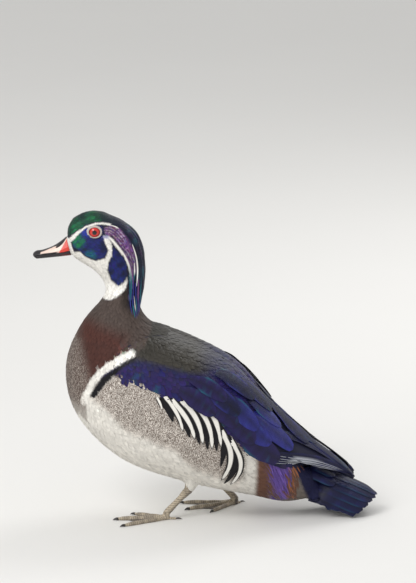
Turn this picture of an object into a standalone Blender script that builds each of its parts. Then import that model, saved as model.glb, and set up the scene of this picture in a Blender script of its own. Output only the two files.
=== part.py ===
"""Life-size still model of a drake wood duck, caught in a slow stride with its head held high.

Metres, +Z up.  The bird faces -X, its left side is towards -Y, and it stands on z = 0.
Sizes below are in millimetres and become metres where a mesh is made.  The outer form is
given out to the feather tips: one long form from bill to tail is lofted through named
stations and parted into head, neck and trunk by thin cuts, and the crest, wings, tail,
thighs, legs and feet are laid against it.
"""
import math

import bmesh
import bpy
import numpy as np
from mathutils import Vector
from mathutils.bvhtree import BVHTree

MM = 0.001
GAP = 0.35                    # clear space between touching pieces
CUT = 0.55                    # width of the cuts that part the long form
WING_GAP = 1.5                # clear space between trunk and folded wing
CENTRE_X = 1.1                # shift that brings the middle of the bird's box to x = 0

# One row per station of the long form: place of its top and bottom in the side view,
# half width, and how far its widest level lies above (+) or below (-) the middle.
#                  top x  top z   low x  low z  half width  level
STATIONS = (
    ("bill root",   -146,   301,   -141,   279,    8.5,   -0.10),
    ("forehead",    -141,   317,   -130,   272,   14.5,   -0.20),
    ("eyes",        -118,   327,   -120,   266,   18.5,   -0.30),
    ("cheeks",       -98,   321,   -112,   259,   20.5,   -0.25),
    ("nape",         -81,   300,   -107,   250,   20.0,   -0.10),
    ("upper neck",   -76,   268,   -105,   240,   18.5,    0.00),
    ("lower neck",   -75,   240,   -111,   229,   21.5,    0.00),
    ("neck base",    -66,   215,   -127,   211,   31.0,    0.05),
    ("shoulders",    -41,   197,   -147,   166,   51.0,    0.05),
    ("breast",        -9,   182.5, -142,   119,   65.0,    0.05),
    ("middle",        30,   160,    -97,    66,   70.0,    0.05),
    ("flanks",        60,   124,    -28,    38,   64.0,    0.08),
    ("rump",          86,    85,     49,    21,   47.0,    0.10),
    ("vent",         105,    57,     86,    14,   34.0,    0.10),
    ("tail root",    116,    46,    106,    17,   25.0,    0.10),
)
HEAD_END = "upper neck"       # the head ends and the neck starts at this station
NECK_END = "neck base"        # the neck ends and the trunk starts at this station
FORM_SIDES = 24
RING_SPACING = 12.5           # along the form
FULLNESS = 0.92               # 1 gives plain ellipses, less gives fuller sides

EYE_X, EYE_Z = -116.6, 306.8
EYE_RADIUS = 7.2
EYE_PROUD = 2.2               # how far the eye stands out of the face

# Crest of long feathers: outer and inner edge in the side view, and half width.
#            outer x outer z inner x inner z half width
CREST_ROWS = (
    (-105.0, 322.5, -103.0, 317.0, 3.0),
    (-92.0, 319.0, -99.0, 309.0, 10.0),
    (-76.0, 305.5, -92.0, 298.0, 14.0),
    (-67.0, 288.0, -89.0, 282.0, 14.0),
    (-64.0, 266.0, -87.0, 265.0, 12.0),
    (-65.5, 246.0, -86.0, 246.0, 10.0),
    (-68.5, 230.0, -82.0, 231.0, 7.0),
    (-72.0, 217.0, -76.0, 218.5, 1.6),
)
CREST_SIDES = 12

# Bill: distance from the root to the tip, then top, mouth line and half width.
#            x       top z   mouth z  low z  half width
BILL_ROWS = (
    (0.0, 299.0, 285.5, 279.5, 9.0),
    (7.0, 294.0, 283.6, 278.6, 8.7),
    (15.0, 289.0, 282.3, 277.6, 7.8),
    (23.0, 285.6, 281.2, 276.6, 7.2),
    (29.0, 283.6, 280.2, 275.9, 6.9),
    (33.5, 281.6, 278.6, 275.6, 5.8),
    (36.2, 279.0, 276.6, 275.4, 3.6),
)
BILL_ROOT_X = -146.4
BILL_LEAN = 5.2               # the root leans back this far from its top to its bottom
BILL_SIDES = 14

# Folded left wing: upper edge and lower edge, from the wrist at the breast to the tip.
#            top x   top y  top z   low x  low y  low z  thickness
WING_ROWS = (
    (-94.0, -43.0, 176.0, -97.0, -50.0, 163.0, 1.6),
    (-72.0, -32.0, 188.0, -77.0, -63.0, 158.0, 3.0),
    (-38.0, -22.0, 197.0, -42.0, -72.0, 143.0, 3.4),
    (-4.0, -16.0, 189.0, -6.0, -73.0, 131.0, 3.4),
    (30.0, -10.0, 168.0, 20.0, -69.0, 102.0, 3.2),
    (60.0, -5.0, 134.0, 42.0, -62.0, 78.0, 3.0),
    (84.0, -2.2, 107.0, 66.0, -50.0, 69.0, 2.8),
    (107.0, -1.6, 83.0, 92.0, -38.0, 66.0, 2.4),
    (131.0, -1.8, 65.0, 121.0, -24.0, 55.0, 1.8),
    (148.0, -3.5, 49.5, 142.0, -15.0, 46.0, 1.2),
    (156.5, -8.0, 40.0, 155.0, -10.5, 39.0, 0.8),
)
WING_ALONG = 20
WING_ACROSS = 9
WING_EDGE = 0.35              # share of its thickness that the wing keeps at its edges
WING_CROWN = 5.0              # how far the wing bows out between its edges
HUG_FROM, HUG_TO = 58.0, 92.0  # the wing lies on the trunk up to the first, is free past the last

# Tail: a roof of twelve feathers.
TAIL_RIDGE = ((116.4, 46.0), (131.0, 43.0), (151.0, 36.0), (170.0, 26.5), (180.8, 17.0))
TAIL_LONGEST = 64.0
TAIL_SHORTEST = 38.0
TAIL_HALF_WIDTH = 26.5
TAIL_DROP = 31.0              # from the ridge down to the outermost feather
TAIL_ROOT_LIFT = 5.0          # how much less it drops at the root
TAIL_BELLY_Z = 19.0           # underside of the solid root
TAIL_EDGE_THICKNESS = 2.0
TAIL_TIP_THICKNESS = 1.2
TAIL_FEATHERS = 6             # on each side
TAIL_POINTS = 4               # mesh columns for each feather
TAIL_ROWS = 6
TAIL_SCALLOP = 2.4            # how far a feather's rounded end stands out

# Legs: places of ankle and foot root for the left leg (forward) and the right leg (back).
LEGS = {
    "left": {"hip": (-14.0, -30.0, 62.0), "ankle": (-19.0, -30.0, 32.0),
             "root": (-40.5, -30.0, 8.8), "heading": 184.0},
    "right": {"hip": (2.0, 30.0, 58.0), "ankle": (8.0, 30.0, 30.0),
              "root": (29.0, 30.0, 8.8), "heading": 206.0},
}
THIGH_TOP_RADIUS = 15.0
THIGH_ANKLE_RADIUS = 5.0
TARSUS_TOP_RADIUS = 4.3
TARSUS_MIDDLE_RADIUS = 3.2
TARSUS_LOW_RADIUS = 3.6
LEG_SIDES = 10

# Toes: turn away from the foot's heading (outer side positive), length with claw, radius.
TOES = (("outer", 28.0, 59.0, 2.5), ("middle", 0.0, 58.0, 2.7), ("inner", -29.0, 44.0, 2.4))
HIND_TOE = (172.0, 15.0, 1.5)
CLAW_LENGTH = 6.5
TOE_SIDES = 6
# Shares along the toe's flesh, then along its claw, with the radius and the height of the
# middle there as shares of the toe's radius.
TOE_PROFILE = ((0.05, 1.1, 1.15), (0.22, 0.95, 0.75), (0.4, 1.1, 0.7), (0.55, 0.92, 0.7),
               (0.75, 1.05, 0.7), (0.92, 0.85, 0.7), (1.0, 0.6, 0.6))
CLAW_PROFILE = ((0.25, 0.42, 0.8), (0.6, 0.32, 0.6), (1.0, 0.12, 0.2))
STUB_BEND = 2.4               # below the tarsus, where the foot's root turns straight down
STUB_LOW = 0.25
STUB_RADIUS = 3.4
WEB_LOW, WEB_HIGH = 0.4, 1.3
SLIVER = 0.06                 # corners of the joined foot closer than this become one
WEB_REACH = 0.86              # how far along each toe its web goes
WEB_SCALLOP = 0.17            # how far the web's edge curves in between two toes
WEB_ARC_POINTS = 5
WEB_BACK = 1.6                # the web begins this far behind the foot's root, inside it

COLOURS = {
    "head": (0.03, 0.16, 0.10), "crest": (0.05, 0.05, 0.14), "bill_upper": (0.55, 0.10, 0.06),
    "bill_lower": (0.03, 0.03, 0.03), "eye": (0.45, 0.03, 0.02), "neck": (0.24, 0.16, 0.13),
    "trunk": (0.40, 0.33, 0.25), "wing": (0.04, 0.05, 0.14), "tail": (0.02, 0.02, 0.04),
    "thigh": (0.62, 0.58, 0.50), "tarsus": (0.42, 0.33, 0.20), "foot": (0.30, 0.24, 0.16),
}


def clear_scene():
    for item in list(bpy.data.objects):
        bpy.data.objects.remove(item, do_unlink=True)


def material(kind):
    """One Principled material for each kind of piece, made once."""
    name = kind + "_finish"
    if name in bpy.data.materials:
        return bpy.data.materials[name]
    made = bpy.data.materials.new(name)
    made.use_nodes = True
    shader = made.node_tree.nodes["Principled BSDF"]
    shader.inputs["Base Color"].default_value = (*COLOURS[kind], 1.0)
    shader.inputs["Roughness"].default_value = 0.15 if kind == "eye" else 0.6
    shader.inputs["Metallic"].default_value = 0.0
    return made


def add_object(name, bm, kind, cutter=False):
    """Close a bmesh into a named object, with its faces pointing out."""
    bmesh.ops.recalc_face_normals(bm, faces=bm.faces[:])
    bmesh.ops.triangulate(bm, faces=bm.faces[:])
    mesh = bpy.data.meshes.new(name)
    bm.to_mesh(mesh)
    bm.free()
    mesh.materials.append(material(kind))
    mesh.shade_smooth()
    mesh.set_sharp_from_angle(angle=math.radians(50))
    made = bpy.data.objects.new(name, mesh)
    bpy.context.scene.collection.objects.link(made)
    if cutter:
        made.hide_render = True
        made.display_type = "WIRE"
    return made


def boolean(target, other, operation):
    step = target.modifiers.new(operation.lower() + "_" + other.name, "BOOLEAN")
    step.operation = operation
    step.solver = "EXACT"
    step.object = other


def curve_through(rows):
    """A smooth curve through rows of numbers, and the distance along it of each row.

    The slopes at the rows come from their neighbours, so no stretch overshoots much.
    """
    rows = np.array(rows, dtype=float)
    steps = np.linalg.norm(np.diff(rows, axis=0), axis=1)
    at = np.concatenate([[0.0], np.cumsum(steps)])
    slopes = np.gradient(rows, at, axis=0)

    def sample(distance):
        i = int(np.clip(np.searchsorted(at, distance, side="right") - 1, 0, len(at) - 2))
        span = at[i + 1] - at[i]
        u = (distance - at[i]) / span
        start = (1 + 2 * u) * (1 - u) ** 2 * rows[i] + u * (1 - u) ** 2 * span * slopes[i]
        end = u * u * (3 - 2 * u) * rows[i + 1] + u * u * (u - 1) * span * slopes[i + 1]
        return start + end

    return sample, at


def power(value, exponent):
    return math.copysign(abs(value) ** exponent, value)


def section(top, low, half_width, level, sides, fullness=FULLNESS):
    """A closed ring in the plane through top and low, widest away from the middle by level."""
    top = Vector(top)
    low = Vector(low)
    middle = (top + low) / 2
    rise = (top - low) / 2
    ring = []
    for index in range(sides):
        angle = 2 * math.pi * index / sides
        out = power(math.sin(angle), fullness)
        up = power(math.cos(angle), fullness)
        up = up + level * (1 - up * up)
        ring.append(middle + rise * up + Vector((0.0, half_width * out, 0.0)))
    return ring


def loft(bm, rings):
    """Skin a row of rings of equal count into one closed body, ends capped."""
    loops = []
    for ring in rings:
        verts = bmesh.ops.create_circle(bm, segments=len(ring), radius=1.0)["verts"]
        for vert, place in zip(verts, ring):
            vert.co = place * MM
        edges = list({edge for vert in verts for edge in vert.link_edges})
        loops.append(edges)
    for first, second in zip(loops, loops[1:]):
        bmesh.ops.bridge_loops(bm, edges=first + second)
    for end in (loops[0], loops[-1]):
        bmesh.ops.contextual_create(bm, geom=end)
    return bm


def form_rings():
    """The rings of the long form, and the number of the ring at each cut."""
    sample, at = curve_through([row[1:] for row in STATIONS])
    names = [row[0] for row in STATIONS]
    cuts = {"head": at[names.index(HEAD_END)], "neck": at[names.index(NECK_END)]}
    stretches = {"head": (0.0, cuts["head"]),
                 "neck": (cuts["head"], cuts["neck"]),
                 "trunk": (cuts["neck"], at[-1])}
    rings = {}
    for part, (start, end) in stretches.items():
        if part != "head":
            start += CUT
        count = max(3, round((end - start) / RING_SPACING))
        places = np.linspace(start, end, count + 1)
        rings[part] = []
        for place in places:
            top_x, top_z, low_x, low_z, half_width, level = sample(place)
            ring = section((top_x, 0, top_z), (low_x, 0, low_z), half_width, level, FORM_SIDES)
            rings[part].append(ring)
    return rings


def swollen(name, sources, by):
    """A cutter made of other objects' meshes, grown by a gap."""
    bm = bmesh.new()
    for source in sources:
        bm.from_mesh(source.data)
    bm.normal_update()
    moves = [(vert, vert.normal.copy()) for vert in bm.verts]
    for vert, normal in moves:
        vert.co += normal * by * MM
    return add_object(name, bm, "trunk", cutter=True)


def make_form():
    """Head, neck and trunk."""
    rings = form_rings()
    made = {}
    for part in ("head", "neck", "trunk"):
        bm = loft(bmesh.new(), rings[part])
        made[part] = add_object(part, bm, part)
    return made


def make_eyes(head):
    tree = BVHTree.FromPolygons([v.co for v in head.data.vertices],
                                [p.vertices for p in head.data.polygons])
    for side, sign in (("left", -1.0), ("right", 1.0)):
        start = Vector((EYE_X * MM, sign * 0.1, EYE_Z * MM))
        face = tree.ray_cast(start, Vector((0.0, -sign, 0.0)))[0]
        centre = face - Vector((0.0, sign * (EYE_RADIUS - EYE_PROUD) * MM, 0.0))
        for name, radius, cutter in (("eye_" + side, EYE_RADIUS, False),
                                     ("socket_" + side, EYE_RADIUS + GAP + 0.15, True)):
            bm = bmesh.new()
            bmesh.ops.create_uvsphere(bm, u_segments=14, v_segments=8, radius=radius * MM)
            bmesh.ops.translate(bm, verts=bm.verts[:], vec=centre)
            made = add_object(name, bm, "eye", cutter)
            if cutter:
                boolean(head, made, "DIFFERENCE")


def make_crest(head, neck):
    sample, at = curve_through(CREST_ROWS)
    rings = []
    for place in np.linspace(0.0, at[-1], 15):
        outer_x, outer_z, inner_x, inner_z, half_width = sample(place)
        ring = section((outer_x, 0, outer_z), (inner_x, 0, inner_z), half_width, -0.2,
                       CREST_SIDES, fullness=1.0)
        rings.append(ring)
    crest = add_object("crest", loft(bmesh.new(), rings), "crest")
    boolean(crest, swollen("nape_space", [head], GAP + 0.1), "DIFFERENCE")
    boolean(crest, swollen("neck_space", [neck], GAP + 0.1), "DIFFERENCE")


def make_bill():
    """Upper and lower halves of the shut bill, met along the mouth line."""
    sample, at = curve_through(BILL_ROWS)
    upper = []
    lower = []
    for place in np.linspace(0.0, at[-1], 12):
        out, top, mouth, low, half_width = sample(place)
        share = out / BILL_ROWS[-1][0]
        upper_ring = []
        lower_ring = []
        for index in range(BILL_SIDES):
            angle = 2 * math.pi * index / BILL_SIDES
            across = power(math.sin(angle), 0.85)
            up = math.cos(angle)
            high = mouth + GAP / 2 + (top - mouth) * max(up, 0.0) ** (0.8 + 0.3 * share)
            deep = mouth - GAP / 2 - (mouth - low) * max(-up, 0.0) ** 0.7
            narrow = 1.0 - 0.25 * max(up, 0.0)
            for ring, level, width in ((upper_ring, high, narrow), (lower_ring, deep, 0.86)):
                lean = BILL_LEAN * (1 - share) * (BILL_ROWS[0][1] - level) / 20.0
                x = BILL_ROOT_X - out + lean
                ring.append(Vector((x, half_width * across * width, level)))
        upper.append(upper_ring)
        lower.append(lower_ring)
    for name, rings in (("bill_upper", upper), ("bill_lower", lower)):
        add_object(name, loft(bmesh.new(), rings), name)


def make_wings(trunk):
    """Each folded wing is a thin bowed slab that lies on the trunk and runs free to its tip."""
    tree = BVHTree.FromPolygons([v.co for v in trunk.data.vertices],
                                [p.vertices for p in trunk.data.polygons])
    sample, at = curve_through(WING_ROWS)
    inner = []
    thickness = []
    for place in np.linspace(0.0, at[-1], WING_ALONG):
        row = sample(place)
        top = Vector(row[0:3])
        low = Vector(row[3:6])
        line = []
        for index in range(WING_ACROSS + 1):
            share = index / WING_ACROSS
            bow = math.sin(math.pi * share)
            point = top.lerp(low, share) + Vector((0.0, -WING_CROWN, 2.0)) * bow
            near, normal, _, _ = tree.find_nearest(point * MM)
            clear = (point * MM - near).dot(normal) / MM
            hug = 1.0 - min(max((point.x - HUG_FROM) / (HUG_TO - HUG_FROM), 0.0), 1.0)
            wanted = WING_GAP * hug + max(clear, WING_GAP) * (1.0 - hug)
            point = near / MM + normal * wanted if clear < WING_GAP or hug > 0.0 else point
            line.append(point)
        inner.append(line)
        thickness.append(row[6])
    for side, sign in (("left", 1.0), ("right", -1.0)):
        rings = wing_rings(inner, thickness, sign)
        add_object("wing_" + side, loft(bmesh.new(), rings), "wing")


def wing_rings(inner, thickness, sign):
    """Rings round the slab: down its inner face and back up its outer face."""
    rings = []
    count = len(inner)
    for i, line in enumerate(inner):
        before = inner[max(i - 1, 0)]
        after = inner[min(i + 1, count - 1)]
        outer = []
        for j, point in enumerate(line):
            along = after[j] - before[j]
            across = line[min(j + 1, WING_ACROSS)] - line[max(j - 1, 0)]
            normal = along.cross(across).normalized()
            if normal.y > 0.0:
                normal = -normal
            share = j / WING_ACROSS
            full = WING_EDGE + (1.0 - WING_EDGE) * math.sin(math.pi * share) ** 0.6
            outer.append(point + normal * max(0.6, thickness[i] * full))
        ring = line + outer[::-1]
        rings.append([Vector((p.x, p.y * sign, p.z)) for p in ring])
    return rings


def feather_end(share):
    """How far back the tail reaches at a share of the way from its ridge to its lower edge."""
    feather = min(int(share * TAIL_FEATHERS), TAIL_FEATHERS - 1)
    within = share * TAIL_FEATHERS - feather
    step = (feather + 0.5) / TAIL_FEATHERS
    length = TAIL_LONGEST - (TAIL_LONGEST - TAIL_SHORTEST) * step ** 1.6
    return length - TAIL_SCALLOP * (2 * within - 1) ** 2


def make_tail():
    """A roof of feathers, solid at the root, each feather's end a rounded step."""
    sample, at = curve_through(TAIL_RIDGE)
    root_x, root_z = TAIL_RIDGE[0]
    _, top_x, top_z, low_x, low_z = STATIONS[-1][:5]
    slope = (top_x - low_x) / (top_z - low_z)
    columns = TAIL_FEATHERS * TAIL_POINTS
    rings = []
    for row in range(TAIL_ROWS):
        along = row / (TAIL_ROWS - 1)
        top_line = []
        low_line = []
        for column in range(-columns, columns + 1):
            share = abs(column) / columns
            reach = along * feather_end(min(share, 0.999))
            ridge_x, ridge_z = sample(min(reach / TAIL_LONGEST, 1.0) * at[-1])
            spread = min(1.0, 0.9 + 0.2 * along)
            y = TAIL_HALF_WIDTH * spread * math.sin(share * math.pi / 2) ** 1.1
            z = ridge_z - (TAIL_DROP - TAIL_ROOT_LIFT * (1 - along) ** 2) * share ** 1.5
            root_thickness = max(TAIL_EDGE_THICKNESS, z - TAIL_BELLY_Z)
            thick = root_thickness + (TAIL_TIP_THICKNESS - root_thickness) * min(1.0, along * 1.6)
            for line, level in ((top_line, z), (low_line, z - thick)):
                back = root_x - (top_x + slope * (level - top_z)) - GAP * 1.2
                x = ridge_x - back * max(0.0, 1 - 1.5 * along)
                line.append(Vector((x, math.copysign(y, column), level)))
        rings.append(top_line + low_line[::-1])
    add_object("tail", loft(bmesh.new(), rings), "tail")


def tube_rings(points, radii, sides, across=1.0, flat_at=None):
    """Rings square to a path, with a flat underside where they would pass the given level."""
    rings = []
    count = len(points)
    side = Vector((0.0, 1.0, 0.0))
    for i, point in enumerate(points):
        along = (points[min(i + 1, count - 1)] - points[max(i - 1, 0)]).normalized()
        level = along.cross(Vector((0.0, 0.0, 1.0)))
        if level.length > 0.2:
            side = level.normalized()
        up = side.cross(along)
        ring = []
        for index in range(sides):
            angle = 2 * math.pi * (index + 0.5) / sides
            place = point + (side * math.sin(angle) * across + up * math.cos(angle)) * radii[i]
            if flat_at is not None:
                place.z = max(place.z, flat_at)
            ring.append(place)
        rings.append(ring)
    return rings


def make_thigh(side, leg, trunk_space):
    """The feathered upper leg, from the flank to the ankle."""
    hip = Vector(leg["hip"])
    ankle = Vector(leg["ankle"])
    shank_way = (Vector(leg["root"]) - ankle).normalized()
    bend = ankle - shank_way * 4.0
    shares = (0.0, 0.35, 0.65, 0.85, 1.0)
    points = [hip.lerp(bend, share) for share in shares] + [ankle]
    radii = [THIGH_ANKLE_RADIUS + (THIGH_TOP_RADIUS - THIGH_ANKLE_RADIUS) * (1 - share) ** 0.8
             for share in shares] + [THIGH_ANKLE_RADIUS]
    rings = tube_rings(points, radii, LEG_SIDES)
    thigh = add_object("thigh_" + side, loft(bmesh.new(), rings), "thigh")
    boolean(thigh, trunk_space, "DIFFERENCE")


def make_tarsus(side, leg):
    """The bare lower leg, from the ankle to the foot's root."""
    ankle = Vector(leg["ankle"])
    root = Vector(leg["root"])
    along = (root - ankle).normalized()
    top = ankle + along * GAP * 2.2
    low = root - along * GAP
    shares = (0.0, 0.12, 0.35, 0.65, 0.9, 1.0)
    radii = (TARSUS_TOP_RADIUS, TARSUS_TOP_RADIUS, TARSUS_MIDDLE_RADIUS,
             TARSUS_MIDDLE_RADIUS, TARSUS_LOW_RADIUS, TARSUS_LOW_RADIUS)
    points = [top.lerp(low, share) for share in shares]
    rings = tube_rings(points, radii, LEG_SIDES, across=0.8)
    add_object("tarsus_" + side, loft(bmesh.new(), rings), "tarsus")


def toe_path(root, heading, length, radius):
    """Points and radii of one toe: knuckles along it, then its claw bent down to the floor."""
    way = Vector((math.cos(heading), math.sin(heading), 0.0))
    flesh = length - CLAW_LENGTH
    points = []
    radii = []
    for share, swell, height in TOE_PROFILE:
        points.append(Vector((root.x, root.y, radius * height)) + way * flesh * share)
        radii.append(radius * swell)
    for share, swell, height in CLAW_PROFILE:
        reach = flesh + CLAW_LENGTH * share
        points.append(Vector((root.x, root.y, radius * height)) + way * reach)
        radii.append(radius * swell)
    return points, radii


def make_foot(side, leg):
    """Three webbed front toes and a small hind toe round the foot's root, as one piece."""
    sign = -1.0 if side == "left" else 1.0
    root = Vector(leg["root"])
    ankle = Vector(leg["ankle"])
    along = (root - ankle).normalized()
    bend = root + along * STUB_BEND
    stub = tube_rings([root, bend, Vector((bend.x, bend.y, STUB_LOW))],
                      [TARSUS_LOW_RADIUS, TARSUS_LOW_RADIUS, STUB_RADIUS], LEG_SIDES)
    foot = add_object("foot_" + side, loft(bmesh.new(), stub), "foot")
    tips = []
    toe_rows = list(TOES) + [("hind", *HIND_TOE)]
    for name, turn, length, radius in toe_rows:
        heading = math.radians(leg["heading"] + sign * -turn)
        points, radii = toe_path(root, heading, length, radius)
        if name != "hind":
            tips.append((heading, (length - CLAW_LENGTH) * WEB_REACH))
        rings = tube_rings(points, radii, TOE_SIDES, flat_at=0.0)
        toe = add_object(name + "_toe_" + side, loft(bmesh.new(), rings), "foot", cutter=True)
        boolean(foot, toe, "UNION")
    web = make_web(side, root, tips)
    boolean(foot, web, "UNION")
    weld = foot.modifiers.new("close_slivers", "WELD")
    weld.merge_threshold = SLIVER * MM


def make_web(side, root, tips):
    """A thin web between the three front toes, its free edge curved in."""
    centre = Vector((root.x, root.y, 0.0))
    middle = tips[1][0]
    back = Vector((math.cos(middle), math.sin(middle), 0.0)) * WEB_BACK
    outline = [centre - back]
    for first, second in zip(tips, tips[1:]):
        for index in range(WEB_ARC_POINTS + 1):
            share = index / WEB_ARC_POINTS
            heading = first[0] + (second[0] - first[0]) * share
            reach = first[1] + (second[1] - first[1]) * share
            reach *= 1.0 - WEB_SCALLOP * math.sin(math.pi * share)
            place = Vector((math.cos(heading), math.sin(heading), 0.0)) * reach
            if (outline[-1] - centre - place).length > 0.5:
                outline.append(centre + place)
    bm = bmesh.new()
    verts = [bm.verts.new((p.x * MM, p.y * MM, WEB_LOW * MM)) for p in outline]
    sheet = bm.faces.new(verts)
    thick = bmesh.ops.extrude_face_region(bm, geom=[sheet])
    lifted = [item for item in thick["geom"] if isinstance(item, bmesh.types.BMVert)]
    bmesh.ops.translate(bm, verts=lifted, vec=(0.0, 0.0, (WEB_HIGH - WEB_LOW) * MM))
    return add_object("web_" + side, bm, "foot", cutter=True)


def centre_bird():
    """Bring the middle of the bird's box over the origin."""
    for item in bpy.data.objects:
        item.data.transform(item.matrix_world)
        for vert in item.data.vertices:
            vert.co.x += CENTRE_X * MM


def main():
    clear_scene()
    form = make_form()
    trunk_space = swollen("trunk_space", [form["trunk"]], GAP + 0.1)
    make_crest(form["head"], form["neck"])
    make_eyes(form["head"])
    make_bill()
    make_wings(form["trunk"])
    make_tail()
    for side, leg in LEGS.items():
        make_thigh(side, leg, trunk_space)
        make_tarsus(side, leg)
        make_foot(side, leg)
    centre_bird()


main()
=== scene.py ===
import math

import bmesh
import bpy
import numpy as np
from bpy.props import FloatProperty, FloatVectorProperty
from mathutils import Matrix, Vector
from mathutils.bvhtree import BVHTree
from mathutils.kdtree import KDTree


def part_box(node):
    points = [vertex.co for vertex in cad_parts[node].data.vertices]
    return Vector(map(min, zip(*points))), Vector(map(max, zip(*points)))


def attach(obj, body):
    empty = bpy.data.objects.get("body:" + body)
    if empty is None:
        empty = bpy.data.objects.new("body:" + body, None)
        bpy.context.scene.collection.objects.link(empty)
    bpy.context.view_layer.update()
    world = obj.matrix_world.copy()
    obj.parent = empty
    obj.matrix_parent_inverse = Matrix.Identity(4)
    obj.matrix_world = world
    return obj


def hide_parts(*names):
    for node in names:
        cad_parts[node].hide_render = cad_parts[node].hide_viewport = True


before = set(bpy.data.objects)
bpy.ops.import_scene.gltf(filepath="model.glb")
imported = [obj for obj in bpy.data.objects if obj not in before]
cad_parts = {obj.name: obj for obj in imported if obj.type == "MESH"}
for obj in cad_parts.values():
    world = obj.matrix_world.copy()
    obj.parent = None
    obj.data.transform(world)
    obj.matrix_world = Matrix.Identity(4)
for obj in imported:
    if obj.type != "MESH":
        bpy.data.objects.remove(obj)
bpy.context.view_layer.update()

bl_info = {
    "name": "Wood duck still model",
    "version": (1, 0, 0),
    "blender": (4, 5, 0),
    "location": "View3D > Sidebar > Duck",
    "description": "Feathers, eyes, bill and feet of a life-size drake wood duck",
    "category": "Object",
}

# Lengths below are in millimetres.  The bird faces -X and its left side is towards -Y.
MM = 0.001
SEED = 7
SIDES = (-1.0, 1.0)

# The middle line of the bird in the side view, from the bill's root to the tail's end.
SPINE = ((-146, 291), (-130, 296), (-112, 292), (-96, 276), (-90, 254), (-92, 234), (-95, 212),
         (-93, 181), (-75, 151), (-33, 113), (16, 81), (67, 53), (96, 36), (112, 31), (150, 22),
         (185, 12))

# How the coat grows along that line: distance from the bill's root, then the room that each
# feather takes, its length, its width and the depth of the coat.
COAT = ((0, 1.3, 3.0, 1.6, 0.8), (35, 1.6, 4.8, 2.3, 1.0), (60, 1.9, 6.2, 2.7, 1.2),
        (90, 2.3, 7.5, 3.4, 1.6), (120, 2.9, 9.0, 4.4, 2.0), (160, 3.4, 11.0, 5.6, 2.5),
        (250, 3.8, 13.0, 6.6, 2.8), (330, 3.8, 13.0, 6.4, 2.6), (400, 3.4, 12.0, 5.4, 2.0),
        (490, 3.3, 11.0, 5.0, 1.5))

# Markings in the side view, as points (x, z).
CROWN_EDGE = ((-148, 297), (-145.5, 298.5), (-135.5, 307.2), (-125, 314.6), (-114.6, 317.7),
              (-101.2, 317.4), (-90.8, 312.2), (-81.4, 302), (-76.3, 289.3))
BROW = ((-143.5, 296.5), (-140.9, 297.6), (-133.4, 305.3), (-125, 311.9), (-114.6, 315.4),
        (-106.3, 315.7), (-99, 314.2))
NAPE_LINE = ((-105.5, 302.5), (-101.5, 302.2), (-96.9, 298.8), (-90.7, 290.4), (-83.5, 281.5),
             (-79.5, 271.3), (-77.5, 260.2), (-77.6, 249.6), (-78.6, 236))
CHEEK = ((-138.8, 297), (-135.6, 302.2), (-128, 308.5), (-118, 313.5), (-108, 313.4),
         (-105.5, 306), (-105.5, 299.5), (-102.1, 288.7), (-105.2, 281.3), (-114.7, 278.8),
         (-124.1, 281.6), (-131.4, 287.3), (-138.6, 290.6))
MAUVE = ((-105.3, 311.5), (-99, 313.5), (-88.7, 309.5), (-80.4, 298.8), (-73, 284), (-72, 262),
         (-77, 262), (-79, 278.5), (-87.6, 291.5), (-96.9, 302.8), (-104.2, 304))
THROAT = ((-152, 286), (-139, 284.5), (-131, 286), (-124, 279.8), (-114.7, 276.8),
          (-104.4, 280.2), (-101, 288), (-104.6, 296.5), (-106, 301.5), (-100.6, 301.6),
          (-97.2, 293), (-97.5, 283), (-101, 276), (-102.4, 267), (-98.5, 255.6), (-91, 249.4),
          (-85, 253.6), (-81.6, 258.5), (-81.4, 252.9), (-84.7, 244.7), (-93.1, 238.5),
          (-99.4, 235), (-106.1, 234.2), (-120, 233), (-160, 250))
NECK_PATCH = ((-99.6, 276), (-101.2, 267.2), (-97.2, 256.1), (-91, 250.4), (-85.7, 254.6),
              (-81.6, 262.3), (-82.5, 275), (-90.7, 286.2), (-96.4, 291.7), (-96.9, 283.4))
BREAST = ((-170, 236), (-60, 236), (-56, 205), (-63, 192), (-75.8, 187.5), (-87.2, 182.5),
          (-98.8, 174.5), (-111.3, 166.5), (-119.9, 153), (-126.5, 139), (-124.5, 128),
          (-124, 107.6), (-131.3, 113), (-170, 113))
WHITE_BAR = ((-76.8, 185.7), (-87.2, 180.7), (-98.8, 172.7), (-110.3, 164.2), (-118.6, 151.7),
             (-125.7, 137), (-127.5, 130))
BLACK_BAR = ((-75.7, 180.3), (-87.2, 173.7), (-97.7, 164.4), (-107.7, 154.7), (-117.4, 140.6))
MANTLE_EDGE = ((-100, 176), (-90.3, 177.8), (-72.7, 180.2), (-57.1, 177.5), (-36.4, 171.4),
               (-15.7, 165.5), (-0.2, 163.2), (8.1, 166.5))
FLANK_EDGE = ((-110, 158), (-98.7, 162.4), (-77.8, 162.3), (-57, 153.2), (-41.5, 144.5),
              (-15.7, 138), (5, 124.3), (23.7, 100.1), (41.4, 82.6), (59, 71), (75, 66.5),
              (100, 66), (117, 55), (150, 40))
BELLY_EDGE = ((-122.1, 136.8), (-104.2, 126.6), (-83.4, 103.6), (-67.8, 97.9), (-47, 88.5),
              (-31.4, 83.2), (-21.1, 71.2), (-10.7, 60.1), (-0.2, 56.5), (17.6, 48), (36, 45))
RUMP_SIDE = ((36, 85), (57.5, 72), (55.5, 20), (30, 20), (38, 50))
CHESTNUT = ((54.5, 74), (68.8, 70), (69.6, 14), (52.5, 14))
VIOLET = ((65.5, 74), (92.3, 66), (90.3, 24), (68.9, 14))

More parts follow.
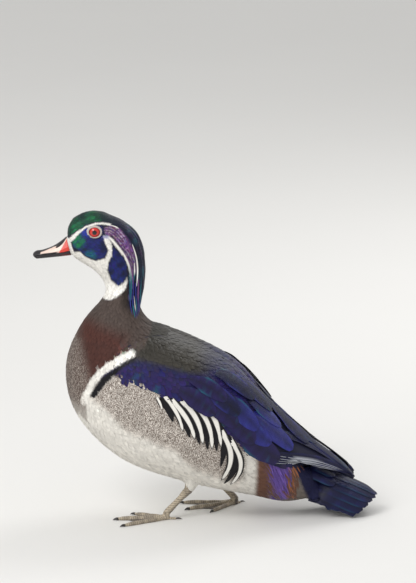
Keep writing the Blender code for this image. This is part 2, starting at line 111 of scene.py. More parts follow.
# Barred feathers of the flank: where the white band of each runs, from the wing downwards.
BARS = (((-49.9, 142.3), (-46.8, 136.2), (-44.7, 129.9)),
        ((-41.5, 144), (-34.4, 134), (-26.1, 119.2), (-23, 106.3)),
        ((-34.4, 140.1), (-22, 124.4), (-13.7, 110.5), (-10.6, 97.3)),
        ((-24, 139.7), (-11.6, 125.3), (-4.4, 108.1), (-2.3, 91.6)),
        ((-15.7, 140.5), (-2.3, 126.6), (6, 107.8), (7.1, 85.7)),
        ((-8.5, 139.2), (5, 129.5), (13.3, 113.5), (16.4, 87.8)),
        ((16.6, 107.0), (27.9, 83.3), (25.9, 64.1), (16.6, 48.9)),
        ((27.4, 95.5), (38.4, 72.5), (36.4, 56.1), (26.1, 43.2)))

BAR_WIDTHS = (4.5, 7.0, 9.0, 9.5, 9.5, 9.0, 9.5, 8.0)

# The crest's outer edge, inner edge (x, z each) and half width, from the crown down.
CREST_ROWS = ((-101.0, 320.0, -101.9, 315.0, 3.0), (-90.0, 317.2, -97.9, 308.0, 10.0),
              (-80.8, 313.0, -94.0, 303.0, 12.0), (-72.2, 304.6, -90.9, 297.0, 14.0),
              (-66.0, 291.0, -88.5, 284.0, 14.0), (-62.9, 266.0, -85.9, 265.0, 12.0),
              (-64.4, 246.0, -84.9, 246.0, 10.0), (-67.4, 230.0, -80.9, 231.0, 7.0),
              (-70.9, 216.0, -74.9, 217.5, 1.6))
# Fine lines of the crest: path, width, and the colours of its upper and lower parts.
CREST_LINES = (
    (((-101, 302.6), (-96.9, 299.4), (-90.7, 291), (-83.5, 281.8), (-79.8, 271.3), (-77.8, 260.2),
      (-77.8, 248), (-78.6, 234)), 2.3, "white", "crest_teal"),
    (((-86, 287), (-79.4, 276), (-76.2, 262), (-75.6, 246), (-76.0, 228)), 1.5, "mauve",
     "wing_blue"),
    (((-76.6, 294), (-72.4, 281), (-70.9, 266), (-72.3, 247)), 1.7, "white", "white"),
    (((-74.2, 274), (-74.0, 264), (-75.4, 253)), 1.3, "white", "crest_teal"),
    (((-80.2, 262), (-79.0, 246), (-78.6, 228), (-76.4, 219)), 1.6, "crest_teal", "wing_blue"),
    (((-73.2, 252), (-73.0, 238), (-72.6, 219)), 2.0, "wing_blue", "crest_teal"),
    (((-70.0, 256), (-70.6, 238), (-71.4, 217)), 2.2, "mauve", "wing_blue"),
    (((-77.4, 246), (-76.4, 232), (-74.2, 216.5)), 2.2, "wing_blue", "crest_teal"),
    (((-75.0, 238), (-73.8, 226), (-72.8, 215.5)), 1.3, "white", "wing_blue"),
    (((-67.6, 250), (-68.6, 234), (-70.2, 219)), 2.0, "crest_teal", "wing_blue"),
    (((-99, 313.6), (-92.5, 311.2), (-87, 306.4)), 1.3, "white", "mauve"),
)

# Legs: ankle, foot root and heading of each foot, and the toes' turn, length and radius.
LEGS = {"left": {"hip": (-12.9, -30, 62), "ankle": (-17.9, -30, 32), "root": (-39.4, -30, 8.8),
                 "heading": 184.0},
        "right": {"hip": (3.1, 30, 58), "ankle": (9.1, 30, 30), "root": (30.1, 30, 8.8),
                  "heading": 206.0}}
TOES = ((28.0, 59.0, 2.5), (0.0, 58.0, 2.7), (-29.0, 44.0, 2.4), (172.0, 15.0, 1.5))
TOE_JOINTS = (0.4, 0.75)
FOOT_TOP = 8.5
CLAW_LENGTH = 6.5
SCALE_ROW = 2.3

# Edges of bare and white parts: the collar's lower edge (x, z), the front of the white behind
# the bill and the front of the face's feathers (z, x each).
COLLAR_EDGE = ((-106, 234.0), (-99.4, 235.0), (-93.1, 238.5), (-84.7, 244.7), (-80, 252.0))
WHITE_FRONT = ((284.8, -137.2), (290.1, -139.6), (296.3, -141.0), (299.5, -144.0))
FACE_FRONT = ((279.0, -138.5), (299.0, -144.5))
# Glossy and dark spots of the cheek: colour, share, middle and radius.
CHEEK_SPOTS = (("crest_teal", 0.75, (-120, 282), 9.0), ("crest", 0.8, (-105, 292), 8.0),
               ("crest", 0.7, (-104, 307), 6.5))

# The bill, by distance out from its root: its ridge and its cutting edge (z), and how deep the
# black lies below the ridge.
BILL_ROOT = -145.3
BILL_RIDGE = ((0, 299), (7, 294), (15, 289), (23, 285.6), (29, 283.6), (36, 279))
BILL_EDGE = ((0, 285.5), (7, 283.6), (15, 282.3), (23, 281.2), (29, 280.2))
BILL_BLACK = ((0, 1.2), (3, 3.4), (5.5, 4.2), (9.8, 2.4), (14, 1.3), (24, 1.2))
# The nostril's middle, out from the root and below the ridge.
NOSTRIL = (8.0, 3.2)
# Where the bill's tip starts to round off (x, z), and how far it reaches out, up and sideways.
TIP_X, TIP_Z = -170.0, 279.6
TIP_OUT, TIP_UP, TIP_WIDE = 10.6, 5.4, 8.5

# How far the forms under the feathers stand off the flesh and off the wings.
FLESH_SWELL = 0.55
WING_SWELL = 0.9
# Where wings, tail and bill are cut from the form that the small feathers lie on.
WING_CUT, TAIL_CUT, BILL_CUT = 72.0, 122.0, -156.0
# Distances along the middle line where the feathers of head and neck end.
HEAD_END, NECK_END = 78.0, 135.0
# From where to where the wing's coverts run, and where the small feathers of back and rump end.
COVERTS_FROM, COVERTS_TO = -92.0, 140.0
BACK_END, RUMP_END = 66.0, 118.0
# From which share of a leg's feathering a feather counts as the thigh's.
THIGH_SHARE = 0.3
# Bare room round each eye, and the radius of the eyeball's part that its lid lets show.
EYE_CLEAR = 7.2
EYE_SHOWN = 5.4
# The point that the camera faces, and the lamps: place, size and share of the key's strength.
AIM = (0.0029, 0.0, 0.2398)
LAMPS = {"key": ((-1.1, -1.5, 1.7), 1.2, 1.0), "rim": ((0.9, 1.2, 1.3), 0.9, 0.35)}
# Points along each large feather's line, and how many plumes the crest and the rump have.
LINE_POINTS = 9
CREST_PLUMES = 420
RUMP_PLUMES = 150


def linear(red, green, blue):
    """A colour given from 0 to 255 as the eye sees it, in the scene's own linear numbers."""
    shares = np.array((red, green, blue)) / 255.0
    return tuple(np.where(shares <= 0.04045, shares / 12.92, ((shares + 0.055) / 1.055) ** 2.4))


def size_of(name, text, value):
    """A length that the panel shows, given in millimetres."""
    return FloatProperty(name=name, description=text, default=value * MM, min=0.0,
                         unit="LENGTH", precision=5)


def number_of(name, text, value):
    """A number that the panel shows."""
    return FloatProperty(name=name, description=text, default=value, min=0.0)


def colour_of(name, text, red, green, blue):
    """A colour that the panel shows."""
    return FloatVectorProperty(name=name, description=text, subtype="COLOR", size=3, min=0.0,
                               max=1.0, default=linear(red, green, blue))


class DuckSizes(bpy.types.PropertyGroup):
    """Sizes of skin, feathers, eyes and feet."""
    skin_mesh: size_of("Skin mesh", "Size of the skin's mesh", 2.2)
    foot_mesh: size_of("Foot mesh", "Size of the legs' and feet's mesh", 0.75)
    vane_thickness: size_of("Vane thickness", "Thickness of a feather at its shaft", 0.12)
    lift: size_of("Lift", "How far the feathers' ends stand off the form", 0.18)
    pupil: size_of("Pupil", "Radius of the pupil", 2.4)
    lid: size_of("Lid", "Radius of the bare ring round the eye", 7.1)
    crest_plume: size_of("Crest plume", "Width of a plume of the crest", 3.4)


class DuckColours(bpy.types.PropertyGroup):
    """Colours of the plumage and the bare parts."""
    crown: colour_of("Crown", "Glossy green-black crown", 10, 38, 38)
    crown_gloss: colour_of("Crown gloss", "Green gloss over the lores", 24, 122, 74)
    crest: colour_of("Crest", "Blue-black plumes", 12, 16, 44)
    crest_teal: colour_of("Crest gloss", "Teal gloss of the crest's ends", 18, 96, 112)
    mauve: colour_of("Mauve", "Mauve gloss behind the eye", 112, 70, 124)
    cheek_green: colour_of("Cheek green", "Green front of the cheek", 20, 112, 74)
    cheek_blue: colour_of("Cheek blue", "Blue rear of the cheek", 30, 42, 122)
    white: colour_of("White", "Throat, lines and bars", 236, 233, 226)
    neck: colour_of("Neck", "Grey-brown base of the neck", 74, 63, 58)
    breast: colour_of("Breast", "Chestnut breast", 70, 38, 31)
    breast_front: colour_of("Breast front", "Paler front of the breast", 88, 76, 70)
    mantle: colour_of("Mantle", "Dark brown-grey mantle", 52, 49, 43)
    back: colour_of("Back", "Blue-black back", 19, 22, 60)
    coverts: colour_of("Coverts", "Purple-navy wing coverts", 34, 26, 76)
    wing_blue: colour_of("Wing blue", "Ultramarine gloss of the wing", 44, 46, 128)
    wing_teal: colour_of("Wing teal", "Teal gloss of the wing", 24, 96, 116)
    flank: colour_of("Flank", "Warm grey flank", 228, 220, 211)
    belly: colour_of("Belly", "Off-white belly", 230, 226, 218)
    chestnut: colour_of("Rump side", "Chestnut side of the rump", 100, 68, 54)
    violet: colour_of("Violet", "Violet plumes of the rump side", 96, 72, 148)
    orange: colour_of("Orange", "Orange plumes of the rump side", 160, 98, 62)
    undertail: colour_of("Under tail", "Grey-brown under the tail", 112, 104, 97)
    tail: colour_of("Tail", "Blue-black tail", 18, 20, 56)
    silver: colour_of("Silver", "Silver edges of the flight feathers", 190, 193, 200)
    black: colour_of("Black", "Black bars and edges", 16, 15, 20)
    iris: colour_of("Iris", "Red iris", 196, 44, 36)
    lid: colour_of("Lid", "Bare skin round the eye", 188, 180, 172)
    bill_red: colour_of("Bill red", "Red base of the bill", 206, 58, 44)
    bill_pale: colour_of("Bill pale", "Pale side of the bill", 232, 206, 192)
    bill_dark: colour_of("Bill dark", "Dark ridge, nail and lower bill", 24, 19, 24)
    leg: colour_of("Leg", "Dull straw skin of legs and toes", 178, 165, 144)
    web: colour_of("Web", "Dusky webs and joints", 96, 88, 82)
    claw: colour_of("Claw", "Dark claws", 34, 29, 27)
    floor: colour_of("Floor", "Pale floor", 226, 225, 222)


class DuckStage(bpy.types.PropertyGroup):
    """Camera and lights."""
    distance: number_of("Camera distance", "Metres from the camera to the point it faces", 5.0)
    lens: number_of("Lens", "Focal length in millimetres", 294.0)
    elevation: number_of("Elevation", "Degrees that the camera stands above the floor", 13.0)
    key: number_of("Key light", "Strength of the large soft light", 31.0)
    fill: number_of("Fill", "Strength of the light from all round", 0.72)


def sizes():
    """The chosen sizes, in metres."""
    return bpy.context.scene.duck_sizes


def shades():
    """The chosen colours as rows of three numbers, by name."""
    group = bpy.context.scene.duck_colours
    return {name: np.array(getattr(group, name)) for name in DuckColours.__annotations__}


# ---- small helpers -------------------------------------------------------------------------

def unit(rows):
    """Each row at length one."""
    return rows / np.maximum(np.linalg.norm(rows, axis=-1, keepdims=True), 1e-9)


def dot(a, b):
    """Row by row product, kept as a column."""
    return (a * b).sum(axis=-1, keepdims=True)


def ramp(value, low, high):
    """0 up to low, 1 past high, smooth between."""
    share = np.clip((value - low) / (high - low), 0.0, 1.0)
    return share * share * (3.0 - 2.0 * share)


def blend(first, second, share):
    """The first colours at share 0, the second at share 1."""
    share = np.asarray(share)[..., None]
    return first * (1.0 - share) + second * share


def layered(colour, tone, *coats):
    """Lay coats over a colour, each a colour or its name, and its share."""
    for coat, share in coats:
        colour = blend(colour, tone[coat] if isinstance(coat, str) else coat, share)
    return colour


def smooth_line(points, count):
    """A polyline through the points, evenly spaced and softly rounded at its corners."""
    points = np.array(points, float)
    at = np.concatenate([[0.0], np.cumsum(np.linalg.norm(np.diff(points, axis=0), axis=1))])
    places = np.linspace(0.0, at[-1], count)
    slopes = np.gradient(points, at, axis=0)
    i = np.clip(np.searchsorted(at, places, side="right") - 1, 0, len(at) - 2)
    span = (at[i + 1] - at[i])[:, None]
    u = ((places - at[i]) / span[:, 0])[:, None]
    start = (1 + 2 * u) * (1 - u) ** 2 * points[i] + u * (1 - u) ** 2 * span * slopes[i]
    end = u * u * (3 - 2 * u) * points[i + 1] + u * u * (u - 1) * span * slopes[i + 1]
    return start + end


def line_distance(line, x, z):
    """Distance in the side view from each point to a polyline."""
    best = np.full(x.shape, 1e9)
    for (ax, az), (bx, bz) in zip(line, line[1:]):
        dx, dz = bx - ax, bz - az
        share = np.clip(((x - ax) * dx + (z - az) * dz) / (dx * dx + dz * dz), 0.0, 1.0)
        best = np.minimum(best, np.hypot(x - ax - share * dx, z - az - share * dz))
    return best


def patch(outline, x, z, soft=0.6):
    """1 inside a closed outline, 0 outside, with a soft edge."""
    inside = np.zeros(x.shape, bool)
    closed = tuple(outline) + (outline[0],)
    for (ax, az), (bx, bz) in zip(closed, closed[1:]):
        if az != bz:
            crosses = ((az > z) != (bz > z)) & (x < (bx - ax) * (z - az) / (bz - az) + ax)
            inside ^= crosses
    depth = line_distance(closed, x, z)
    return ramp(np.where(inside, depth, -depth), -soft, soft)


def stripe(line, x, z, half_width, soft=0.5):
    """1 along a line, 0 away from it, with a soft edge."""
    return 1.0 - ramp(line_distance(line, x, z), half_width - soft, half_width + soft)


def level_of(line, x):
    """Height of a line that runs from front to back, at each x."""
    line = np.array(line, float)
    return np.interp(x, line[:, 0], line[:, 1])


def drift(points, size, phase=0.0):
    """A slow wander from -1 to 1 over the body, for patches of gloss."""
    x, y, z = (points[..., i] / size for i in range(3))
    return (np.sin(1.7 * x + 2.1 * z + phase) * np.cos(2.3 * y - 1.3 * z + 2 * phase)
            + np.sin(3.1 * z - 2.7 * x + 1.9 * y + 3 * phase)) / 2.0


SPINE_LINE = smooth_line(SPINE, 420)
SPINE_WAY = unit(np.gradient(SPINE_LINE, axis=0))
SPINE_AT = np.concatenate([[0.0], np.cumsum(np.linalg.norm(np.diff(SPINE_LINE, axis=0), axis=1))])


def spine_place(points):
    """For each point: distance along the middle line, its direction there and the turn round it."""
    flat = points[:, (0, 2)]
    nearest = np.empty(len(points), int)
    for start in range(0, len(points), 8000):
        part = flat[start:start + 8000]
        gaps = ((part[:, None, :] - SPINE_LINE[None]) ** 2).sum(axis=2)
        nearest[start:start + 8000] = gaps.argmin(axis=1)
    way = SPINE_WAY[nearest]
    out = flat - SPINE_LINE[nearest]
    up = out[:, 1] * way[:, 0] - out[:, 0] * way[:, 1]
    turn = np.arctan2(points[:, 1], up)
    along = np.stack([way[:, 0], np.zeros(len(way)), way[:, 1]], axis=1)
    return SPINE_AT[nearest], along, turn


def coat_at(along):
    """Room, length, width and depth of the coat at distances along the middle line."""
    rows = np.array(COAT, float)
    return [np.interp(along, rows[:, 0], rows[:, i]) for i in range(1, 5)]


# ---- markings ------------------------------------------------------------------------------

def spot(x, z, centre, radius):
    """1 at the middle of a round patch, fading to 0 at its edge."""
    return 1.0 - ramp(np.hypot(x - centre[0], z - centre[1]), 0.25 * radius, radius)


def nape_line_tone(z, tone):
    """The line behind the eye: white above, turning blue down the crest."""
    return blend(tone["white"], tone["wing_blue"] * 1.3, 0.85 * ramp(-z, -268, -246))


def head_colour(points, tone):
    """Crown, face, throat and neck patch, with their lines and gloss."""
    x = points[:, 0] + 0.55 * drift(points, 1.1)
    z = points[:, 2] + 0.45 * drift(points, 0.9, 2.0)
    gloss = ramp(drift(points * (0.5, 1.0, 1.0), 4.0), -0.2, 0.8)
    low = spot(x, z, (-132, 309), 14.0) + 0.7 * spot(x, z, (-118, 319), 12.0)
    crown = blend(tone["crown"], tone["crown_gloss"], np.minimum(low, 1.0) * (0.35 + 0.6 * gloss))
    off = line_distance(NAPE_LINE, x, z)
    mauve = layered(tone["mauve"], tone, ("crest", 0.75 * ramp(-z, -286, -262)),
                    ("crest", 0.65 * ramp(np.sin(2.6 * off + 3.0 * drift(points, 7.0)), 0, 0.9)),
                    ("white", 0.35 * ramp(np.sin(2.6 * off + 2.8), 0.6, 1.0)))
    grain = 0.5 * drift(points, 5.0, 2.0)
    green = np.clip(1.1 * spot(x, z, (-133.5, 297), 11.0) * (0.75 + 1.3 * grain), 0, 1)
    spots = [(name, share * spot(x, z, middle, radius))
             for name, share, middle, radius in CHEEK_SPOTS]
    cheek = layered(tone["cheek_blue"], tone, ("crest", 0.5 + 0.5 * grain),
                    (tone["cheek_blue"] * 1.7, 0.8 * spot(x, z, (-124, 309), 10.0)),
                    ("cheek_green", green), *spots)
    neck_patch = blend(tone["cheek_blue"], tone["crest"], 0.55 + 0.4 * drift(points, 6.0, 3.0))
    nape = blend(nape_line_tone(z, tone), tone["cheek_blue"] * 2.0, 0.6 * ramp(-x, 97, 104))
    return layered(
        crown, tone, ("crest", ramp(x, -112, -88)),
        ("crest", ramp(level_of(CROWN_EDGE, x) - z, -0.4, 0.4) * ramp(-x, 74, 77)),
        (blend(tone["neck"] * 0.45, tone["neck"], ramp(-x, 84, 92)),
         ramp(level_of(COLLAR_EDGE, x) - z, -2, 2) * ramp(-x, 78, 83)),
        (mauve, patch(MAUVE, x, z, 1.2)), (cheek, patch(CHEEK, x, z)),
        ("white", patch(THROAT, x, z, 0.8)), (neck_patch, patch(NECK_PATCH, x, z)),
        (nape, stripe(NAPE_LINE, x, z, 1.35)),
        ("white", stripe(BROW, x, z, 0.95 + 1.1 * ramp(-x, 126, 139))),
        ("white", ramp(level_of(WHITE_FRONT, z) - x, -0.6, 0.4) * ramp(-z, -300.5, -299)))


def body_colour(points, tone):
    """Wings, mantle, flanks, belly, breast and rump, with the bars by the wing's bend."""
    x, z = points[:, 0], points[:, 2]
    gloss = drift(points, 16.0)
    above = z - level_of(MANTLE_EDGE, x)
    below = ramp(level_of(FLANK_EDGE, x) - z, -1.0, 1.0)
    wing = layered(tone["coverts"], tone, ("back", ramp(above, -14, 6)),
                   ("wing_blue", 0.4 * ramp(gloss, 0.25, 0.9) * ramp(x, -60, 10)),
                   ("wing_teal", 0.4 * ramp(-gloss, 0.6, 0.95)),
                   (tone["neck"] * 0.6, ramp(-(x + 0.2 * (z - 175)), 96, 112)
                    * ramp(above, 0, 8)))
    flank = blend(tone["flank"], tone["flank"] * 0.82, ramp(drift(points, 12.0, 1.5), 0.1, 1.0))
    belly = ramp(level_of(BELLY_EDGE, x) + 3.0 * drift(points, 7.0) - z, -4.0, 4.0)
    wander = drift(points, 5.0, 2.0) + 0.6 * drift(points, 2.0)
    side = ramp(-(x + 0.28 * (z - 180)), 118, 137)
    neck = ramp(z + 0.35 * (x + 100), 196, 216)
    chest = layered(tone["breast"], tone, ("breast_front", 0.8 * side),
                    ("neck", np.maximum(neck, ramp(x, -94, -74))),
                    (tone["belly"] * 0.8, 0.6 * ramp(2.5 * wander - z, -133, -115)))
    ragged = drift(points, 1.5)
    wide = 1.8 + 1.9 * ramp(-z, -174, -158) + 0.5 * ragged
    return layered(
        wing, tone, (blend(tone["mantle"], tone["back"], ramp(x, -14, 20)), ramp(above, -3, 3)),
        (flank, below), ("belly", belly * ramp(-x, -40, -20) * below),
        (tone["belly"] * 0.92, patch(RUMP_SIDE, x, z, 2.5) * below),
        ("undertail", below * ramp(x, 72, 80)),
        ("chestnut", patch(CHESTNUT, x, z, 3.0) * below),
        (tone["violet"] * 0.8, patch(VIOLET, x, z, 3.0) * below),
        ("tail", ramp(x + 0.4 * (z - 47.7), 95.5, 100.0)),
        (chest, patch(BREAST, x, z + 1.8 * wander, 1.4)),
        ("black", stripe(BLACK_BAR, x, z, wide, 0.7)),
        ("white", stripe(WHITE_BAR, x, z, 3.4 + 0.7 * ragged, 0.6)))


def fine_marks(points):
    """How thick the fine dark vermiculation lies: full on the flank, none elsewhere."""
    x, z = points[:, 0], points[:, 2]
    wander = 4.0 * drift(points, 7.0) + 2.5 * drift(points, 2.0, 1.0)
    share = ramp(z - level_of(BELLY_EDGE, x) + wander, -5.0, 9.0)
    share = share * ramp(level_of(FLANK_EDGE, x) - z, -4.0, -2.0) * ramp(-x, -46.0, -38.0)
    return share * (1.0 - stripe(WHITE_BAR + BLACK_BAR[::-1], x, z, 4.0, 1.0))


def pale_flecks(points):
    """How thick the pale flecks lie on the breast: along its front and its lower end."""
    x, z = points[:, 0], points[:, 2]
    front = ramp(-(x + 0.28 * (z - 180)), 121, 136)
    low = ramp(-z, -160, -130) * ramp(-x, 108, 122)
    return np.maximum(0.75 * front, low)


def plumage_colour(points, tone):
    """The bird's markings at points on its surface."""
    along, _, _ = spine_place(points)
    head = ramp(-along, -112, -104)
    colour = np.empty((len(points), 3))
    up = head > 0.0
    down = head < 1.0
    colour[up] = head_colour(points[up], tone)
    below = body_colour(points[down], tone)
    both = up & down
    kept = np.where(both[down], head[down], 0.0)
    throat = np.zeros((down.sum(), 3))
    throat[both[down]] = colour[both]
    colour[down] = blend(below, throat, kept)
    return np.clip(colour, 0.0, 1.0)


# ---- forms to lay feathers on --------------------------------------------------------------

def merged(node, swell=0.0):
    """A closed bmesh copy of one solid of the frame, in metres, swollen by millimetres."""
    bm = bmesh.new()
    bm.from_mesh(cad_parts[node].data)
    bmesh.ops.remove_doubles(bm, verts=bm.verts[:], dist=0.00001)
    bmesh.ops.recalc_face_normals(bm, faces=bm.faces[:])
    bm.normal_update()
    moves = [vert.normal * swell * MM for vert in bm.verts]
    for vert, move in zip(bm.verts, moves):
        vert.co += move
    return bm


def cut_away(bm, x, keep_front=True):
    """Cut a closed bmesh across at x, keep one side, and close the cut."""
    side = 1.0 if keep_front else -1.0
    cut = bmesh.ops.bisect_plane(bm, geom=bm.verts[:] + bm.edges[:] + bm.faces[:],
                                 plane_co=(x * MM, 0.0, 0.0), plane_no=(side, 0.0, 0.0),
                                 clear_outer=True)
    edges = [item for item in cut["geom_cut"] if isinstance(item, bmesh.types.BMEdge)]
    bmesh.ops.holes_fill(bm, edges=edges)
    return bm


def joined(parts):
    """Several bmeshes as one."""
    whole = bmesh.new()
    for part in parts:
        mesh = bpy.data.meshes.new("part")
        part.to_mesh(mesh)
        part.free()
        whole.from_mesh(mesh)
        bpy.data.meshes.remove(mesh)
    return whole


def linked(name, data):
    """A new object in the scene."""
    made = bpy.data.objects.new(name, data)
    bpy.context.scene.collection.objects.link(made)
    return made


def object_from(name, bm):
    """An object made of a bmesh, which is used up."""
    mesh = bpy.data.meshes.new(name)
    bm.to_mesh(mesh)
    bm.free()
    return linked(name, mesh)


def form_of(made):
    """The surface of an object that is needed for nothing else."""
    form = Form(made.data)
    bpy.data.objects.remove(made)
    return form


def placed(bm, verts, turn, place):
    """Turn points about the origin, then carry them to a place in millimetres."""
    bmesh.ops.rotate(bm, verts=verts, cent=(0, 0, 0), matrix=turn)
    bmesh.ops.translate(bm, verts=verts, vec=Vector(place) * MM)


def circle(bm, segments, radius):
    """A new ring of points, and its edges."""
    verts = bmesh.ops.create_circle(bm, segments=segments, radius=radius * MM)["verts"]
    return verts, list({edge for vert in verts for edge in vert.link_edges})


def settled(made):
    """The object's mesh with its modifiers applied."""
    bpy.context.view_layer.update()
    graph = bpy.context.evaluated_depsgraph_get()
    mesh = bpy.data.meshes.new_from_object(made.evaluated_get(graph))
    old = made.data
    made.modifiers.clear()
    made.data = mesh
    bpy.data.meshes.remove(old)
    return made


def remeshed(name, bm, size, rounds):
    """One closed skin round everything in the bmesh, smoothed."""
    made = object_from(name, bm)
    grow = made.modifiers.new("one_skin", "REMESH")
    grow.mode = "VOXEL"
    grow.voxel_size = size
    grow.use_smooth_shade = True
    ease = made.modifiers.new("ease", "SMOOTH")
    ease.factor = 0.5
    ease.iterations = rounds
    return settled(made)


def rows_of(items, name, kind=float):
    """One value of three numbers from every item of a mesh, as rows."""
    rows = np.empty(len(items) * 3, kind)
    items.foreach_get(name, rows)
    return rows.reshape(-1, 3)


class Form:
    """A surface that feathers are laid on, in millimetres."""

    def __init__(self, mesh):
        mesh.calc_loop_triangles()
        self.points = rows_of(mesh.vertices, "co") / MM
        self.corners = rows_of(mesh.loop_triangles, "vertices", int)
        self.normals = unit(rows_of(mesh.vertex_normals, "vector"))
        self.tree = BVHTree.FromPolygons(self.points.tolist(), self.corners.tolist())

    def normal_at(self, places, faces):
        """Smooth normals at places on faces."""
        a, b, c = (self.points[self.corners[faces, i]] for i in range(3))
        whole = np.cross(b - a, c - a)
        size = np.maximum(dot(whole, whole), 1e-12)
        first = dot(np.cross(b - places, c - places), whole) / size
        second = dot(np.cross(c - places, a - places), whole) / size
        third = 1.0 - first - second
        normals = [self.normals[self.corners[faces, i]] for i in range(3)]
        return unit(normals[0] * first + normals[1] * second + normals[2] * third)

    def nearest(self, points):
        return self.places_of([self.tree.find_nearest(point) for point in points.tolist()])

    def places_of(self, hits):
        """Places and smooth normals of hits on the surface."""
        places = np.array([tuple(hit[0]) for hit in hits])
        return places, self.normal_at(places, np.array([hit[2] for hit in hits]))

    def beside(self, line, side):
        """Points of the surface seen from the bird's left (-1) or right (+1), at (x, z)."""
        hits = []
        for x, z in line:
            hit = self.tree.ray_cast(Vector((x, side * 300.0, z)), Vector((0.0, -side, 0.0)))
            if hit[0] is None:
                hit = self.tree.find_nearest(Vector((x, side * 12.0, z)))
            hits.append(hit)
        return self.places_of(hits)

    def scatter(self, room_of, rng, tries=9.0):
        """Points over the surface, each with the room that room_of gives at it."""
        a, b, c = (self.points[self.corners[:, i]] for i in range(3))
        areas = np.linalg.norm(np.cross(b - a, c - a), axis=1) / 2.0
        room = room_of((a + b + c) / 3.0)
        weights = np.where(room > 0.0, areas / np.maximum(room, 0.1) ** 2, 0.0)
        count = int(weights.sum() * tries)
        faces = rng.choice(len(areas), size=count, p=weights / weights.sum())
        u, v = rng.random((2, count, 1))
        flip = u + v > 1.0
        u, v = np.where(flip, 1.0 - u, u), np.where(flip, 1.0 - v, v)
        places = a[faces] * (1.0 - u - v) + b[faces] * u + c[faces] * v
        gaps = room[faces] * 0.78
        tree = KDTree(count)
        for index, place in enumerate(places.tolist()):
            tree.insert(place, index)
        tree.balance()
        free = np.ones(count, bool)
        chosen = []
        for index, place in enumerate(places.tolist()):
            if free[index]:
                chosen.append(index)
                near = [other for _, other, _ in tree.find_range(place, gaps[index])]
                free[near] = False
        chosen = np.array(chosen)
        return places[chosen], self.normal_at(places[chosen], faces[chosen])


# ---- feathers ------------------------------------------------------------------------------

class Vane:
    """The shape that every feather is bent from: a thin closed lens."""

    def __init__(self, sides, rings, blunt, end, root=0.45, curve=0.22):
        self.curve = curve
        bm = bmesh.new()
        bmesh.ops.create_uvsphere(bm, u_segments=sides, v_segments=rings, radius=1.0)
        bmesh.ops.triangulate(bm, faces=bm.faces[:])
        ball = np.array([tuple(vert.co) for vert in bm.verts])
        faces = [[vert.index for vert in face.verts] for face in bm.faces]
        firsts = [face.index(min(face)) for face in faces]
        self.faces = np.array(sorted(face[i:] + face[:i] for face, i in zip(faces, firsts)))
        bm.free()
        ring = np.hypot(ball[:, 0], ball[:, 1])
        round_it = np.maximum(ring, 1e-9)
        pole = ring < 1e-6
        self.along = np.arccos(np.clip(-ball[:, 2], -1.0, 1.0)) / math.pi
        self.across = np.where(pole, 0.0, ball[:, 0] / round_it)
        self.height = np.where(pole, 0.0, ball[:, 1] / round_it)
        rise = np.clip(self.along / 0.45, 0.0, 1.0) ** root
        fall = (1.0 - np.clip((self.along - 0.5) / 0.5, 0.0, 1.0) ** blunt) ** end
        self.width = rise * fall
        self.out = self.across * self.width
        self.thick = (1.0 - 0.7 * self.along) * rise
        self.top = self.height[self.faces].mean(axis=1) > 0.0


def bend_along(lines, along):
    """Catmull-Rom points on many polylines of equal count, at shares along them."""
    count = lines.shape[1] - 1
    place = np.clip(along * count, 0.0, count - 1e-6)
    i = place.astype(int)
    u = (place - i)[None, :, None]
    before = lines[:, np.maximum(i - 1, 0)]
    here = lines[:, i]
    ahead = lines[:, i + 1]
    after = lines[:, np.minimum(i + 2, count)]
    return 0.5 * (2 * here + (ahead - before) * u
                  + (2 * before - 5 * here + 4 * ahead - after) * u ** 2
                  + (3 * here - before - 3 * ahead + after) * u ** 3)


def shape_vanes(vane, lines, normals, width, sag, thickness):
    """Every feather's points: the vane bent along each line."""
    middle = bend_along(lines, vane.along)
    step = bend_along(lines, np.minimum(vane.along + 0.04, 1.0))
    back = bend_along(lines, np.maximum(vane.along - 0.04, 0.0))
    up = unit(bend_along(normals, vane.along))
    side = unit(np.cross(up, step - back))
    half = 0.5 * width[:, None, None]
    across = vane.out[None, :, None]
    droop = sag[:, None, None] * across ** 2
    rise = 0.5 * thickness * (vane.height * vane.thick)[None, :, None]
    curve = vane.curve * np.clip(half / 3.0, 0.35, 1.0)
    fall = 2.0 * sag[:, None, None] / np.maximum(half, 0.1) + curve
    ahead = unit(step - back)
    shade = up + side * across * fall + ahead * (curve * (vane.along[None, :, None] - 0.4))
    return middle + side * across * half + up * (rise - droop), unit(shade)


